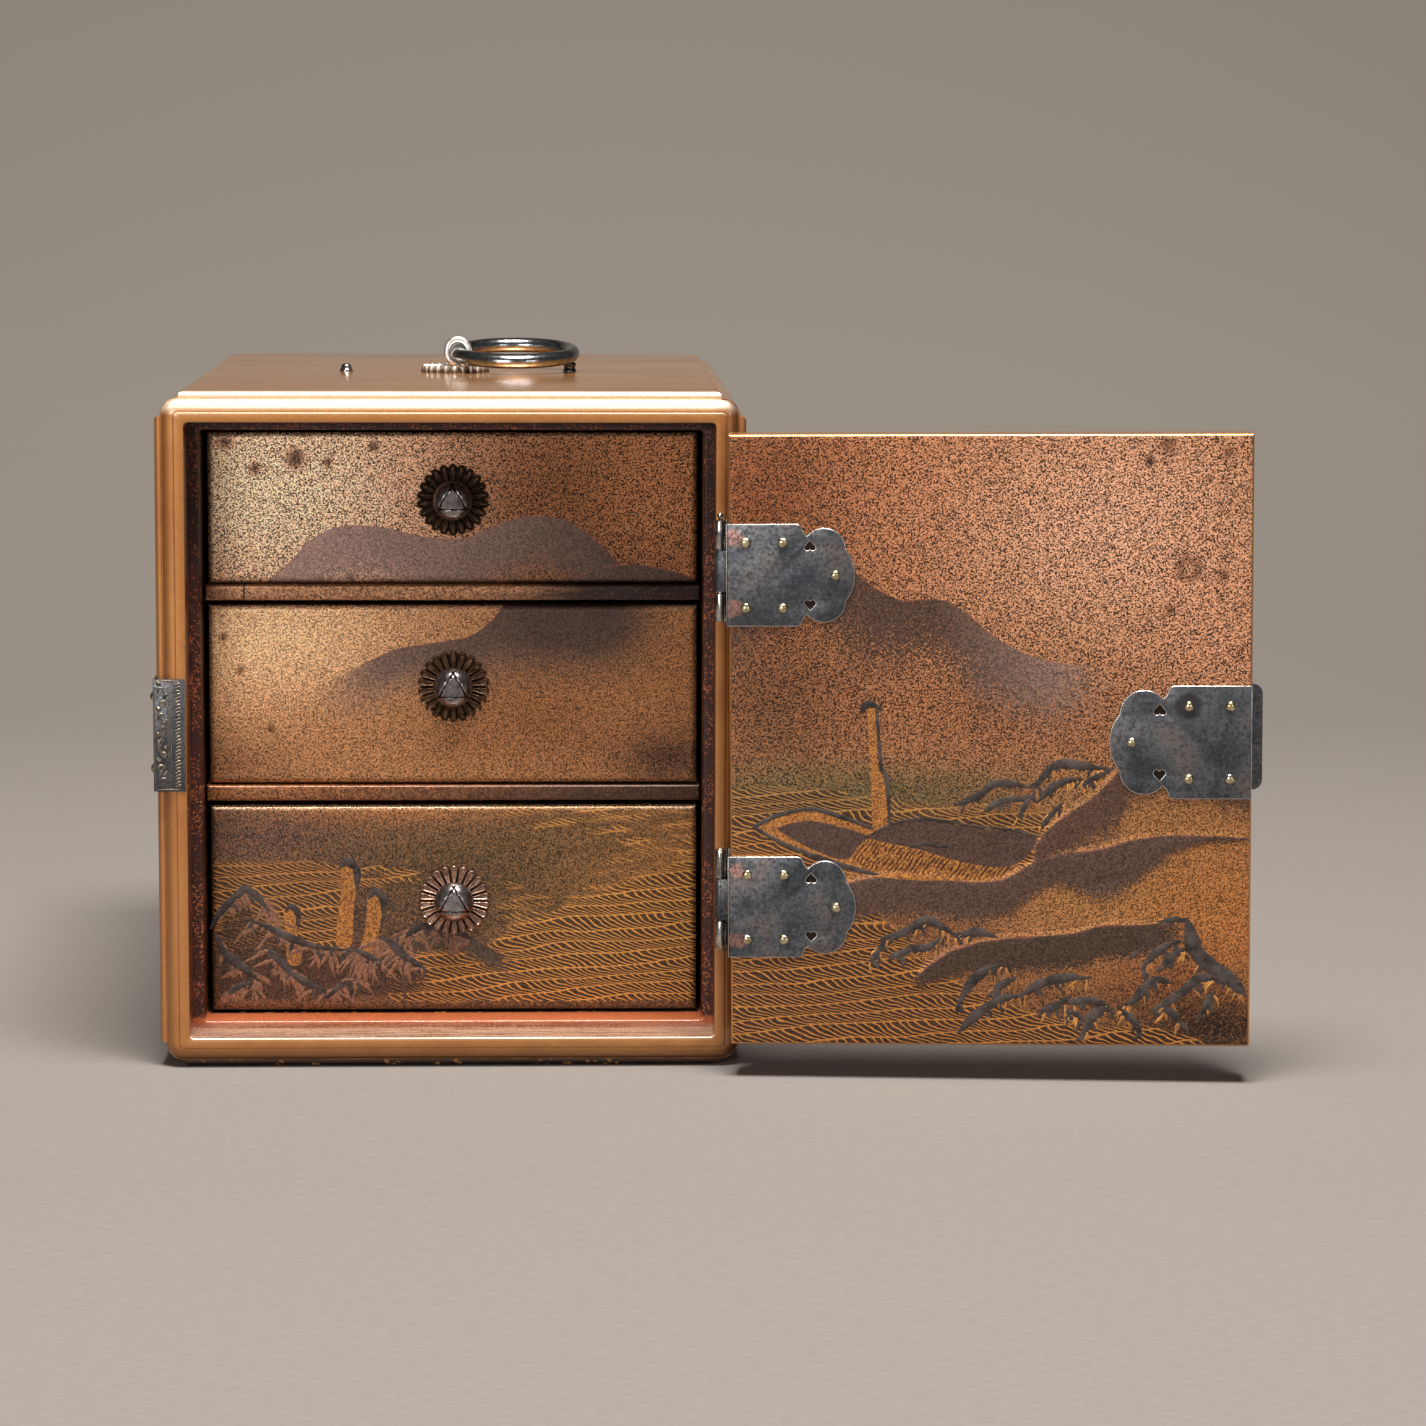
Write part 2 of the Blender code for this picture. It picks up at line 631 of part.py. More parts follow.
def keeper(look):
    """A plate on the frame's left front, where the hasp's tongue lands, bent round to the case's side."""
    side = CASE_WIDTH / 2 + PLATE_GAP
    front_edge = OPENING_HALF + BAND_BEVEL
    section = [
        (-front_edge, -LEAF_FACE),
        (-side - PLATE_THICKNESS, -LEAF_FACE),
        (-side - PLATE_THICKNESS, KEEPER_SIDE_LENGTH + KEEPER_HEIGHT),
        (-side, KEEPER_SIDE_LENGTH + KEEPER_HEIGHT),
        (-side, -PLATE_GAP),
        (-front_edge, -PLATE_GAP),
    ]
    bent = prism(
        [(x, FRONT_Y + depth) for x, depth in section],
        DOOR_MIDDLE - KEEPER_HEIGHT,
        DOOR_MIDDLE + KEEPER_HEIGHT,
        Matrix.Identity(4),
    )
    plate = finish("lock_keeper", bent, look)
    cloud = cloud_outline(KEEPER_SIDE_LENGTH, KEEPER_HEIGHT, -BARREL_RADIUS)
    trim = finish("trim", side_prism(cloud, -CASE_WIDTH, 0, DOOR_MIDDLE), look)
    combine(plate, "INTERSECT", [trim])
    holes = [
        finish("heart", side_prism(heart, -CASE_WIDTH, -side + PLATE_THICKNESS, DOOR_MIDDLE), look)
        for heart in hearts(KEEPER_SIDE_LENGTH, KEEPER_HEIGHT)
    ]
    return combine(plate, "DIFFERENCE", holes)


def nail(name, place, look, height=NAIL_HEIGHT):
    profile = [(0, 0), (NAIL_RADIUS, 0)]
    for angle in (30, 60):
        turn = math.radians(angle)
        profile.append((NAIL_RADIUS * math.cos(turn), height * math.sin(turn)))
    profile.append((0, height))
    return finish(name, turned(profile, 8, place), look, place.translation)


def door_nails(look):
    """Five nails on each plate of the door, inside and outside."""
    made = []
    inside = DOOR_THICKNESS + LEAF_FACE + PLATE_GAP
    outside = -LEAF_FACE - PLATE_GAP
    hasp_face = -PLATE_GAP - HASP_THICKNESS - PLATE_GAP
    plates = [
        ("upper", LEAF_EDGE, -1, LEAF_LENGTH, HINGE_HEIGHT, DOOR_MIDDLE + HINGE_SPREAD, outside),
        ("lower", LEAF_EDGE, -1, LEAF_LENGTH, HINGE_HEIGHT, DOOR_MIDDLE - HINGE_SPREAD, outside),
        ("lock", -DOOR_HALF, 1, LOCK_LENGTH, LOCK_HEIGHT, DOOR_MIDDLE, hasp_face),
    ]
    for plate, edge, inwards, length, height, middle, outer in plates:
        for number, (u, v) in enumerate(nail_places(length, height), 1):
            x = edge + inwards * u
            for face, depth, turn in (("inner", inside, TOWARDS_BACK), ("outer", outer, TOWARDS_FRONT)):
                place = Matrix.Translation((x, FRONT_Y + depth, middle + v)) @ turn
                made.append(nail(f"nail_{plate}_{face}_{number}", place, look))
    return made


def keeper_nails(look):
    x = -CASE_WIDTH / 2 - LEAF_FACE - PLATE_GAP
    for number, (depth, v) in enumerate(nail_places(KEEPER_SIDE_LENGTH, KEEPER_HEIGHT)[::2], 1):
        place = Matrix.Translation((x, FRONT_Y + depth, DOOR_MIDDLE + v)) @ TOWARDS_LEFT
        nail(f"nail_keeper_{number}", place, look, KEEPER_NAIL_HEIGHT)


def door(lacquer, silver, pale):
    """The door and all that swings with it, shaped closed and then turned open about the hinge axis."""
    panel = box(
        (-DOOR_HALF, FRONT_Y, DOOR_LOW),
        (DOOR_HALF, FRONT_Y + DOOR_THICKNESS, DOOR_HIGH),
    )
    round_edges(panel, DOOR_ROUND, 2, lambda edge: True)
    pieces = [finish("door_panel", panel, lacquer)]
    for level, middle in (("upper", DOOR_MIDDLE + HINGE_SPREAD), ("lower", DOOR_MIDDLE - HINGE_SPREAD)):
        pieces.append(door_leaf("door_hinge_" + level, middle, silver))
        case_leaf("case_hinge_" + level, middle, silver)
        hinge_pin("hinge_pin_" + level, middle, silver)
    pieces += [lock_plate(silver), hasp(silver)] + door_nails(pale)
    axis = bpy.data.objects.new("door_axis", None)
    bpy.context.collection.objects.link(axis)
    axis.matrix_world = AXIS_FRAME
    for piece in pieces:
        piece.parent = axis
        piece.matrix_parent_inverse = AXIS_FRAME.inverted()
    axis.matrix_world = AXIS_FRAME @ Matrix.Rotation(math.radians(DOOR_OPEN_DEG), 4, "Z")


def handle(silver, pale):
    """A ring in a staple, with a rosette under it and a stud for it to lie on at either side."""
    foot = CASE_HEIGHT + PLATE_GAP
    rosette(
        "handle_rosette", Matrix.Translation((HANDLE_ROSETTE_X, 0, foot)), pale, HANDLE_ROSETTE_HEIGHT
    )
    centre = Vector((EYE_X, 0, EYE_Z))
    eye = finish(
        "handle_eye",
        torus(EYE_RADIUS, EYE_TUBE, 18, 6, Matrix.Translation(centre) @ TOWARDS_FRONT, EYE_STRETCH),
        pale,
        centre,
    )
    seat = foot + HANDLE_ROSETTE_HEIGHT / 2 + PLATE_GAP
    collar = EYE_Z - EYE_RADIUS
    stem_profile = [(0, seat), (2.2 * EYE_TUBE, seat), (1.5 * EYE_TUBE, collar), (0, collar)]
    stem = turned(stem_profile, 12, Matrix.Translation((EYE_X, 0, 0)))
    combine(eye, "UNION", [finish("stem", stem, pale)])
    lean = Matrix.Rotation(math.radians(RING_TILT_DEG), 4, "X")
    out = Matrix.Translation((RING_RADIUS, 0, 0))
    ring = torus(RING_RADIUS, RING_TUBE, 34, 9, Matrix.Translation(centre) @ lean @ out)
    finish("handle_ring", ring, silver, centre)
    height = EYE_HEIGHT - RING_TUBE - STOP_GAP - PLATE_GAP
    profile = [(0, 0), (STOP_RADIUS, 0), (STOP_RADIUS * 0.8, height * 0.35), (STOP_RADIUS, height * 0.6)]
    profile += [(STOP_RADIUS * 0.8, height * 0.88), (0, height)]
    for side, across in (("left", -1), ("right", 1)):
        place = Matrix.Translation((EYE_X + across * STOP_DISTANCE, 0, foot))
        finish("handle_stop_" + side, turned(profile, 12, place), silver, place.translation)


def build():
    clear_scene()
    gold = material("gold_lacquer", (0.62, 0.36, 0.12), 0.3, 0.6)
    flaked = material("flaked_lacquer", (0.38, 0.20, 0.09), 0.35, 0.4)
    dark = material("dark_lining", (0.05, 0.02, 0.015), 0.4, 0.0)
    bronze = material("bronze_rosette", (0.30, 0.19, 0.14), 0.35, 1.0)
    silver = material("dark_silver", (0.20, 0.20, 0.21), 0.35, 1.0)
    pale = material("pale_metal", (0.75, 0.70, 0.58), 0.3, 1.0)
    case_solid(gold)
    drawers, shelves = storeys()
    for level, low in zip(("upper", "lower"), shelves):
        shelf_solid("shelf_" + level, low, flaked)
    for level, (low, high) in zip(("upper", "middle", "lower"), drawers):
        tray = drawer_solid("drawer_" + level, low, high, flaked, dark)
        pull(level, tray, low, high, bronze, silver)
    door(flaked, silver, pale)
    keeper(silver)
    keeper_nails(pale)
    handle(silver, pale)


build()
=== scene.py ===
"""Finishes and fine detail of a small gold-lacquered cabinet: one door, three drawers and a ring handle.

Metres, +Z up, the front faces -Y. Pictures are laid out in millimetres on each panel.
"""

import math
import random

import bmesh
import bpy
import numpy as np
from mathutils import Matrix, Vector


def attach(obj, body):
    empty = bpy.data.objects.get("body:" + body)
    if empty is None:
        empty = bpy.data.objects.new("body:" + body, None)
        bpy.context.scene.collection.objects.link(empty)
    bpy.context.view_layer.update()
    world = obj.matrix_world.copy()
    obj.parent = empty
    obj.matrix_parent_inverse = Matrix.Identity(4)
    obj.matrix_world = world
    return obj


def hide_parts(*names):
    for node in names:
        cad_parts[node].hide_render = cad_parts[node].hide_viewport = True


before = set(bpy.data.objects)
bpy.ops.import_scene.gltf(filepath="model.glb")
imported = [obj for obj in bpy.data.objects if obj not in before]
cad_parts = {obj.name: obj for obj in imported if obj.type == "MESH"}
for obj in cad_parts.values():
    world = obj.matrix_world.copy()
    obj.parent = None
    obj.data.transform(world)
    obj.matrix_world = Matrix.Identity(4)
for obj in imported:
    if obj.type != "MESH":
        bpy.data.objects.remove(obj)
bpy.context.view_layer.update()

MM = 0.001

# The case, as in the solid (mm)
CASE_DEPTH = 132.0
CASE_HEIGHT = 115.6
FRONT = -CASE_DEPTH / 2
MIDDLE = CASE_HEIGHT / 2
TALLER = 7.8
CORE_HALF = 48.9
ARC_CENTRE = 45.8
PANEL_STEP = 1.1
PANEL_FRONT = 2.0
ROUND_DEPTH = 1.9
OPENING_HALF = 44.8
INSIDE_HALF = 43.0
SILL_DROP = 0.6
REBATE = 9.5
INSIDE_BACK = 127.0
DRAWER_FACE = 17.3
SHELF_FRONT = 16.8

# The door and its axis (mm)
DOOR_HALF = 43.7
DOOR_LOW, DOOR_HIGH = 5.8, 109.1
DOOR_MIDDLE = (DOOR_LOW + DOOR_HIGH) / 2
DOOR_THICKNESS = 7.0
AXIS_X = 45.65
LEAF_EDGE = 44.1
PLATE = 0.35
GAP = 0.05
HINGE_MIDDLES = {"upper": DOOR_MIDDLE + 28.1, "lower": DOOR_MIDDLE - 28.1}
AXIS = Matrix.Translation((AXIS_X * MM, (FRONT - 1.1) * MM, DOOR_MIDDLE * MM)) @ Matrix.Rotation(
    math.radians(-0.25), 4, "Y"
)
OPEN = AXIS @ Matrix.Rotation(math.radians(175), 4, "Z") @ AXIS.inverted()

# The drawers, the shelves and the pulls: low and high edges, and middles (mm)
DRAWER_HALF = 42.2
FRONT_THICKNESS = 2.4
TRAY_BACK = 60
TRAY_WALL = 3
TRAY_FLOOR = 2.5
DRAWERS = {"upper": (81.7, 107.7), "middle": (46.8, 77.8), "lower": (6.7, 42.9)}
SHELVES = {"upper": 78.7, "lower": 43.8}
SHELF_THICKNESS = 2.7
PULL_HEIGHTS = {"upper": 96.1, "middle": 63.7, "lower": 26.2}

# The metal plates: length from the straight edge, and height (mm)
HINGE_PLATE = (21.6, 17.2)
HINGE_LIMB = (19.0, 17.2)
LOCK_PLATE = (23.8, 19.1)
HASP_PLATE = (23.8, 18.0)
KEEPER_LIMB = (19.0, 19.2)
SIDE = 50.05
BARREL_RADIUS = 1.0
PIN_RADIUS = 0.45
NAIL_RADIUS = 0.87

# The handle (mm)
EYE_HEIGHT = 119.0
RING_RADIUS = 10.4
RING_WIRE = 1.34
EYE_RADIUS = 2.0
EYE_WIRE = 0.56
STUD_REACH = 20.3
STUD_RADIUS = 1.2


# Bench tools


def only(piece):
    """Leaves just this piece selected and active."""
    bpy.ops.object.select_all(action="DESELECT")
    piece.select_set(True)
    bpy.context.view_layer.objects.active = piece
    return piece


def fresh(name):
    """Names the object that the last operator added."""
    piece = bpy.context.object
    piece.name = name
    piece.data.name = name
    return piece


def settle(piece, place=None):
    """Puts the piece's place, turn and size into its mesh."""
    if place is not None:
        piece.matrix_world = place @ piece.matrix_world
    only(piece)
    bpy.ops.object.transform_apply(location=True, rotation=True, scale=True)
    return piece


def pick(piece, kind, wanted):
    """Opens the piece in edit mode with only the points, edges or faces that pass the test selected."""
    only(piece)
    mesh = piece.data
    groups = {"points": mesh.vertices, "edges": mesh.edges, "faces": mesh.polygons}
    for group in groups.values():
        group.foreach_set("select", [False] * len(group))
    for item in groups[kind]:
        item.select = wanted(item)
    bpy.context.tool_settings.mesh_select_mode = [kind == name for name in groups]
    bpy.ops.object.mode_set(mode="EDIT")


def done():
    """Goes back to object mode."""
    bpy.ops.object.mode_set(mode="OBJECT")


def ends(piece, edge):
    """Where the two ends of an edge are."""
    return [piece.data.vertices[index].co for index in edge.vertices]


def change(piece, kind, **settings):
    """Adds a modifier and applies it."""
    only(piece)
    modifier = piece.modifiers.new(kind.title(), kind)
    for key, value in settings.items():
        setattr(modifier, key, value)
    bpy.ops.object.modifier_apply(modifier=modifier.name)
    return piece


def smooth(piece, degrees=35):
    """Shades the piece smooth, but for edges sharper than the angle."""
    only(piece)
    bpy.ops.object.shade_smooth_by_angle(angle=math.radians(degrees))
    return piece


def ease_edges(piece, width):
    """A small bevel on every edge that is sharper than 40 degrees."""
    return change(
        piece,
        "BEVEL",
        width=width * MM,
        segments=2,
        limit_method="ANGLE",
        angle_limit=math.radians(40),
        harden_normals=False,
    )


def unite(name, pieces):
    """Joins the pieces into the first one."""
    bpy.ops.object.select_all(action="DESELECT")
    for piece in pieces:
        piece.select_set(True)
    bpy.context.view_layer.objects.active = pieces[0]
    if len(pieces) > 1:
        bpy.ops.object.join()
    return fresh(name)


def twin(piece, place, name):
    """A copy with its own mesh, put in another place."""
    other = piece.copy()
    other.data = piece.data.copy()
    other.name = name
    bpy.context.collection.objects.link(other)
    return settle(other, place)


def weld(piece):
    """Merges doubled points and turns the faces outwards."""
    pick(piece, "faces", lambda face: True)
    bpy.ops.mesh.remove_doubles(threshold=1e-7)
    bpy.ops.mesh.normals_make_consistent(inside=False)
    done()
    return piece


def block(name, low, high):
    """A box between two corners in millimetres, ready to be shaped."""
    middle = [(a + b) / 2 * MM for a, b in zip(low, high)]
    bpy.ops.mesh.primitive_cube_add(size=MM, location=middle)
    piece = fresh(name)
    piece.scale = [b - a for a, b in zip(low, high)]
    return settle(piece)


def wear(piece, finish, test=None):
    """Gives the piece a finish, or only those of its faces that pass the test."""
    if test is None:
        piece.data.materials.clear()
        piece.data.materials.append(finish)
        return piece
    piece.data.materials.append(finish)
    slot = len(piece.data.materials) - 1
    for face in piece.data.polygons:
        if test(face):
            face.material_index = slot
    return piece


def spots_of(piece):
    """The places of the piece's points, one row each."""
    count = len(piece.data.vertices)
    co = np.empty(count * 3, np.float32)
    piece.data.vertices.foreach_get("co", co)
    return co.reshape(-1, 3).astype(float)


def reshape(piece, spots):
    """Moves the piece's points to the given places (m)."""
    piece.data.vertices.foreach_set("co", spots.astype(np.float32).ravel())
    piece.data.update()


def grow_up(steps, radius, centre=(0, 0, 0)):
    """Extrudes the selected cap through (radius, rise) steps in millimetres."""
    for new_radius, rise in steps:
        bpy.ops.mesh.extrude_region_move(TRANSFORM_OT_translate={"value": (0, 0, rise * MM)})
        grow = new_radius / radius
        bpy.ops.transform.resize(value=(grow, grow, 1), center_override=centre)
        radius = new_radius


def enter(piece, body, slot, *nodes):
    """Puts the piece on the body that it rides on and hides the solids that it stands for; the slot is not
    used.
    """
    if nodes:
        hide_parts(*nodes)
    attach(piece, body)


def open_door(x, depth, z):
    """Where a spot of the closed door (mm) is when it is open."""
    return OPEN @ (Vector((x, FRONT + depth, z)) * MM) / MM


# Finishes


def shade(red, green, blue):
    """A colour as the eye reads it, 0 to 255, in the linear values that the shader takes."""
    parts = [value / 255 for value in (red, green, blue)]
    return tuple(p / 12.92 if p <= 0.04045 else ((p + 0.055) / 1.055) ** 2.4 for p in parts) + (1,)


class Value:
    """What a node gives, so that a finish can be written with + - * and /."""

    def __init__(self, mix, socket):
        self.mix = mix
        self.socket = socket

    def __add__(self, other):
        return self.mix.reckon("ADD", self, other)

    def __radd__(self, other):
        return self.mix.reckon("ADD", other, self)

    def __sub__(self, other):
        return self.mix.reckon("SUBTRACT", self, other)

    def __rsub__(self, other):
        return self.mix.reckon("SUBTRACT", other, self)

    def __mul__(self, other):
        return self.mix.reckon("MULTIPLY", self, other)

    def __truediv__(self, other):
        return self.mix.reckon("DIVIDE", self, other)


class Finish:
    """A material being mixed, with short words for its nodes."""

    def __init__(self, name, **fixed):
        self.material = bpy.data.materials.new(name)
        self.material.use_nodes = True
        self.tree = self.material.node_tree
        self.shader = self.tree.nodes["Principled BSDF"]
        for key, value in fixed.items():
            self.set(key, value)

    def set(self, key, value):
        """Puts a number, a colour or a value on the shader."""
        self.feed(self.shader.inputs[key.replace("_", " ")], value)

    def feed(self, socket, value):
        """Links a value to a socket, or writes a number or colour on it."""
        if isinstance(value, Value):
            self.tree.links.new(value.socket, socket)
        else:
            socket.default_value = value

    def node(self, kind, feeds=(), output=0, **settings):
        """What a new node gives, with its inputs fed by name or by place."""
        made = self.tree.nodes.new("ShaderNode" + kind)
        for key, value in settings.items():
            setattr(made, key, value)
        for key, value in dict(feeds).items():
            self.feed(made.inputs[key], value)
        return Value(self, made.outputs[output])

    def reckon(self, operation, *values):
        """Arithmetic with one or two values."""
        return self.node("Math", enumerate(values), operation=operation)

    def span(self, value, low, high, new_low=0.0, new_high=1.0):
        """Carries the value from one range to another and holds it there."""
        return self.node("MapRange", enumerate((value, low, high, new_low, new_high)))

    def over(self, factor, under, top, kind="MIX"):
        """Lays one colour over another."""
        return self.node("Mix", {0: factor, 6: under, 7: top}, 2, data_type="RGBA", blend_type=kind)

    def multiplied(self, one, other):
        """One colour darkened or lightened by another."""
        return self.over(1.0, one, other, "MULTIPLY")

    def place(self, *scale):
        """Object coordinates in millimetres, stretched by the given numbers."""
        spot = self.node("TexCoord", output="Object")
        stretch = [value / MM for value in scale or (1, 1, 1)]
        return self.node("Mapping", {"Vector": spot, "Scale": stretch})

    def field(self, name, output="Vector"):
        """What the piece's points carry under this name."""
        return self.node("Attribute", output=output, attribute_name=name)

    def split(self, kind, whole):
        """The three parts of a vector or colour."""
        made = self.node(kind, {0: whole})
        return [Value(self, output) for output in made.socket.node.outputs[:3]]

    def parts(self, vector):
        """A vector's x, y and z."""
        return self.split("SeparateXYZ", vector)

    def point(self, *values):
        """A vector made of x, y and z."""
        return self.node("CombineXYZ", enumerate(values))

    def noise(self, where, scale, detail=3.0, roughness=0.5, bend=0.0):
        """Soft clouds of about 1 / scale across."""
        feeds = {"Vector": where, "Scale": scale, "Detail": detail, "Roughness": roughness}
        return self.node("TexNoise", {**feeds, "Distortion": bend})

    def cells(self, where, scale, flat=False):
        """Three random numbers for every grain."""
        feeds = {"Vector": where, "Scale": scale}
        grains = self.node("TexVoronoi", feeds, "Color", voronoi_dimensions="2D" if flat else "3D")
        return self.split("SeparateColor", grains)

    def ramp(self, value, *stops):
        """Turns a value into a colour between the stops: (place, colour)."""
        made = self.node("ValToRGB", {0: value})
        scale = made.socket.node.color_ramp
        while len(scale.elements) < len(stops):
            scale.elements.new(0.5)
        for element, (place, colour) in zip(scale.elements, stops):
            element.position = place
            element.color = colour
        return made

    def near(self, spot, radius, ragged=0.0):
        """1 close to a spot (mm), fading out at the radius."""
        away = self.node("VectorMath", {0: self.place(), 1: tuple(spot)}, "Value", operation="DISTANCE")
        away = away + self.noise(self.place(), 0.6, 3) * ragged
        return self.span(away, radius * 0.8 + ragged / 2, radius * 1.15 + ragged / 2, 1, 0)

    def bump(self, height, depth, strength):
        """Fine relief of the given depth (mm)."""
        feeds = {"Height": height, "Distance": depth * MM, "Strength": strength}
        self.set("Normal", self.node("Bump", feeds))


def gold_lacquer():
    """Gold-dusted lacquer of the outside: ochre, brushed in long soft streaks, reddened in places."""
    mix = Finish("gold_lacquer", Metallic=0.8, Coat_Weight=1.0, Coat_Roughness=0.17)
    across = mix.noise(mix.place(0.012, 0.5, 0.35), 1.0, 4, 0.6, 0.3)
    clouds = mix.noise(mix.place(0.02, 0.04, 0.03), 1.0, 3, 0.5)
    panels = mix.span(mix.parts(mix.place())[1], FRONT + 3, FRONT + 5)
    across = mix.span(panels, 0.0, 1.0, 0.52, across)
    colour = mix.ramp(
        across * 0.6 + clouds * 0.4,
        (0.28, shade(140, 88, 40)),
        (0.48, shade(204, 138, 74)),
        (0.62, shade(222, 160, 92)),
        (0.8, shade(196, 122, 58)),
    )
    red = mix.span(mix.noise(mix.place(0.02, 0.12, 0.1), 1.0, 3), 0.56, 0.72, 0, 0.55)
    colour = mix.over(red, colour, shade(186, 96, 54))
    grain = mix.cells(mix.place(), 2.5)
    colour = mix.over(mix.span(grain[0], 0.0, 1.0, 0.0, 0.22), colour, shade(120, 74, 36))
    mix.set("Base Color", colour)
    mix.set("Roughness", mix.span(across, 0.3, 0.7, 0.28, 0.42))
    mix.bump(across + grain[1] * 0.25, 0.03, 0.4)
    return mix.material


def moulding_gold():
    """Gold of the moulding and of the panels' front edges, browner on the flats, with painted highlight on
    faces that look up and along the top, and painted shade on faces that look down and on the right beside
    the door.
    """
    mix = Finish("moulding_gold", Metallic=0.8, Coat_Weight=1.0, Coat_Roughness=0.2)
    cloud = mix.noise(mix.place(0.05, 0.05, 0.05), 1.0, 4, 0.6)
    red, green, _ = mix.cells(mix.place(), 2.6)
    colour = mix.ramp(
        cloud, (0.3, shade(158, 100, 48)), (0.5, shade(186, 126, 66)), (0.7, shade(172, 110, 54))
    )
    rise = mix.parts(mix.node("NewGeometry", output="Normal"))[2]
    # painted highlight: faces that look up are made pale
    colour = mix.over(mix.span(rise, 0.06, 0.4, 0, 0.9), colour, shade(255, 236, 206))
    # painted shade: faces that look down are made darker
    colour = mix.over(mix.span(rise, -0.05, -0.7, 0, 0.7), colour, shade(104, 62, 30))
    x, _, z = mix.parts(mix.place())
    # painted highlight along the top of the moulding
    colour = mix.over(mix.span(z, 112.6, 113.9, 0, 0.45), colour, shade(255, 236, 206))
    # painted shadow on the right side, beside the door's edge
    colour = mix.over(mix.span(x, 44.4, 48.4, 0, 0.75), colour, shade(84, 44, 18))
    colour = mix.over(mix.span(red, 0.0, 1.0, 0.0, 0.2), colour, shade(128, 78, 40))
    mix.set("Base Color", colour)
    mix.set("Roughness", mix.span(cloud, 0.3, 0.7, 0.46, 0.58))
    mix.bump(cloud + green * 0.3, 0.02, 0.4)
    return mix.material


def groove_lacquer():
    """Brown lacquer on the faces of the moulding's grooves, darker than the gold round them."""
    mix = Finish("groove_lacquer", Metallic=0.1, Coat_Weight=0.3)
    cloud = mix.noise(mix.place(), 0.35, 4)
    mix.set("Base Color", mix.ramp(cloud, (0.3, shade(104, 60, 28)), (0.7, shade(150, 96, 50))))
    mix.set("Roughness", mix.span(cloud, 0.3, 0.7, 0.35, 0.55))
    return mix.material


def sprinkled_dark():
    """The frame's inside: nearly black lacquer with red-gold dust, thick on the sill, worn at its edge."""
    mix = Finish("sprinkled_dark", Coat_Weight=0.35, Coat_Roughness=0.08, Specular_IOR_Level=0.3)
    red, green, blue = mix.cells(mix.place(), 4.4)
    _, depth, height = mix.parts(mix.place())
    low = mix.span(height, 7.4, 6.6)
    drift = mix.noise(mix.place(), 0.2, 3)
    dust = mix.span(drift, 0.35, 0.7, 0.05, 0.4) + low * 0.3
    ground = mix.over(low, shade(52, 20, 11), shade(158, 84, 52))
    shown = mix.span(dust - red, 0.0, 0.08)
    flake = mix.over(green, shade(116, 46, 26), shade(196, 108, 62))
    colour = mix.over(shown * 0.85, ground, flake)
    floor = mix.span(height, 6.2, 5.6) * mix.span(depth, FRONT + 10, FRONT + 9)
    streak = mix.noise(mix.place(0.1, 1.6, 1.0), 1.0, 3)
    tan = mix.over(mix.span(streak + blue * 0.4, 0.5, 0.9), shade(90, 55, 38), shade(172, 138, 116))
    mix.set("Base Color", mix.over(floor, colour, tan))
    mix.set("Roughness", mix.span(red, 0, 1, 0.28, 0.45))
    mix.bump(red, 0.015, 0.3)
    return mix.material


def plain_dark():
    """Deep inside the case, the drawers' trays, and as painted shadow on the case's low front faces:
    brown-black lacquer with a few flakes.
    """
    mix = Finish("plain_dark", Coat_Weight=0.3, Coat_Roughness=0.2)
    red, green, _ = mix.cells(mix.place(), 1.6)
    cloud = mix.noise(mix.place(), 0.05, 3)
    colour = mix.over(cloud, shade(24, 13, 10), shade(52, 28, 19))
    flake = mix.over(green, shade(140, 84, 40), shade(196, 140, 74))
    colour = mix.over(mix.span(red, 0.93, 0.96, 0, 0.8), colour, flake)
    mix.set("Base Color", colour)
    mix.set("Roughness", mix.span(cloud, 0.3, 0.7, 0.3, 0.45))
    return mix.material


def waves_on(mix, panel, row_height, spacing, slope, sweep):
    """Long crests with feathered strokes that run down to the next crest: 1 on a line, 0 between lines."""
    u, v, _ = mix.parts(panel)
    sway = mix.noise(mix.point(u * 0.04, v * 0.16, 0.0), 1.0, 2)
    tremble = mix.noise(panel, 0.5, 1)
    rows = (v - u * slope + sway * (2.0 * row_height) + tremble * 0.2) / row_height
    fall = 1.0 - mix.reckon("FRACT", rows)
    row = mix.node("TexWhiteNoise", {"W": mix.reckon("FLOOR", rows)}, noise_dimensions="1D")
    curve = fall * 0.4 + fall * fall * 0.6
    along = (u - curve * sweep) / spacing + row * 7.0
    along = along + mix.noise(panel, 0.2, 1) * 1.6 + tremble * 0.4
    off = mix.reckon("ABSOLUTE", mix.reckon("FRACT", along) - 0.5)
    width = mix.span(fall, 0.0, 1.0, 0.12, 0.15)
    stroke = mix.span(width - off, -0.04, 0.05)
    crest = mix.span(fall, 0.05, 0.12, 1.0, 0.0)
    return mix.reckon("MAXIMUM", stroke, crest)


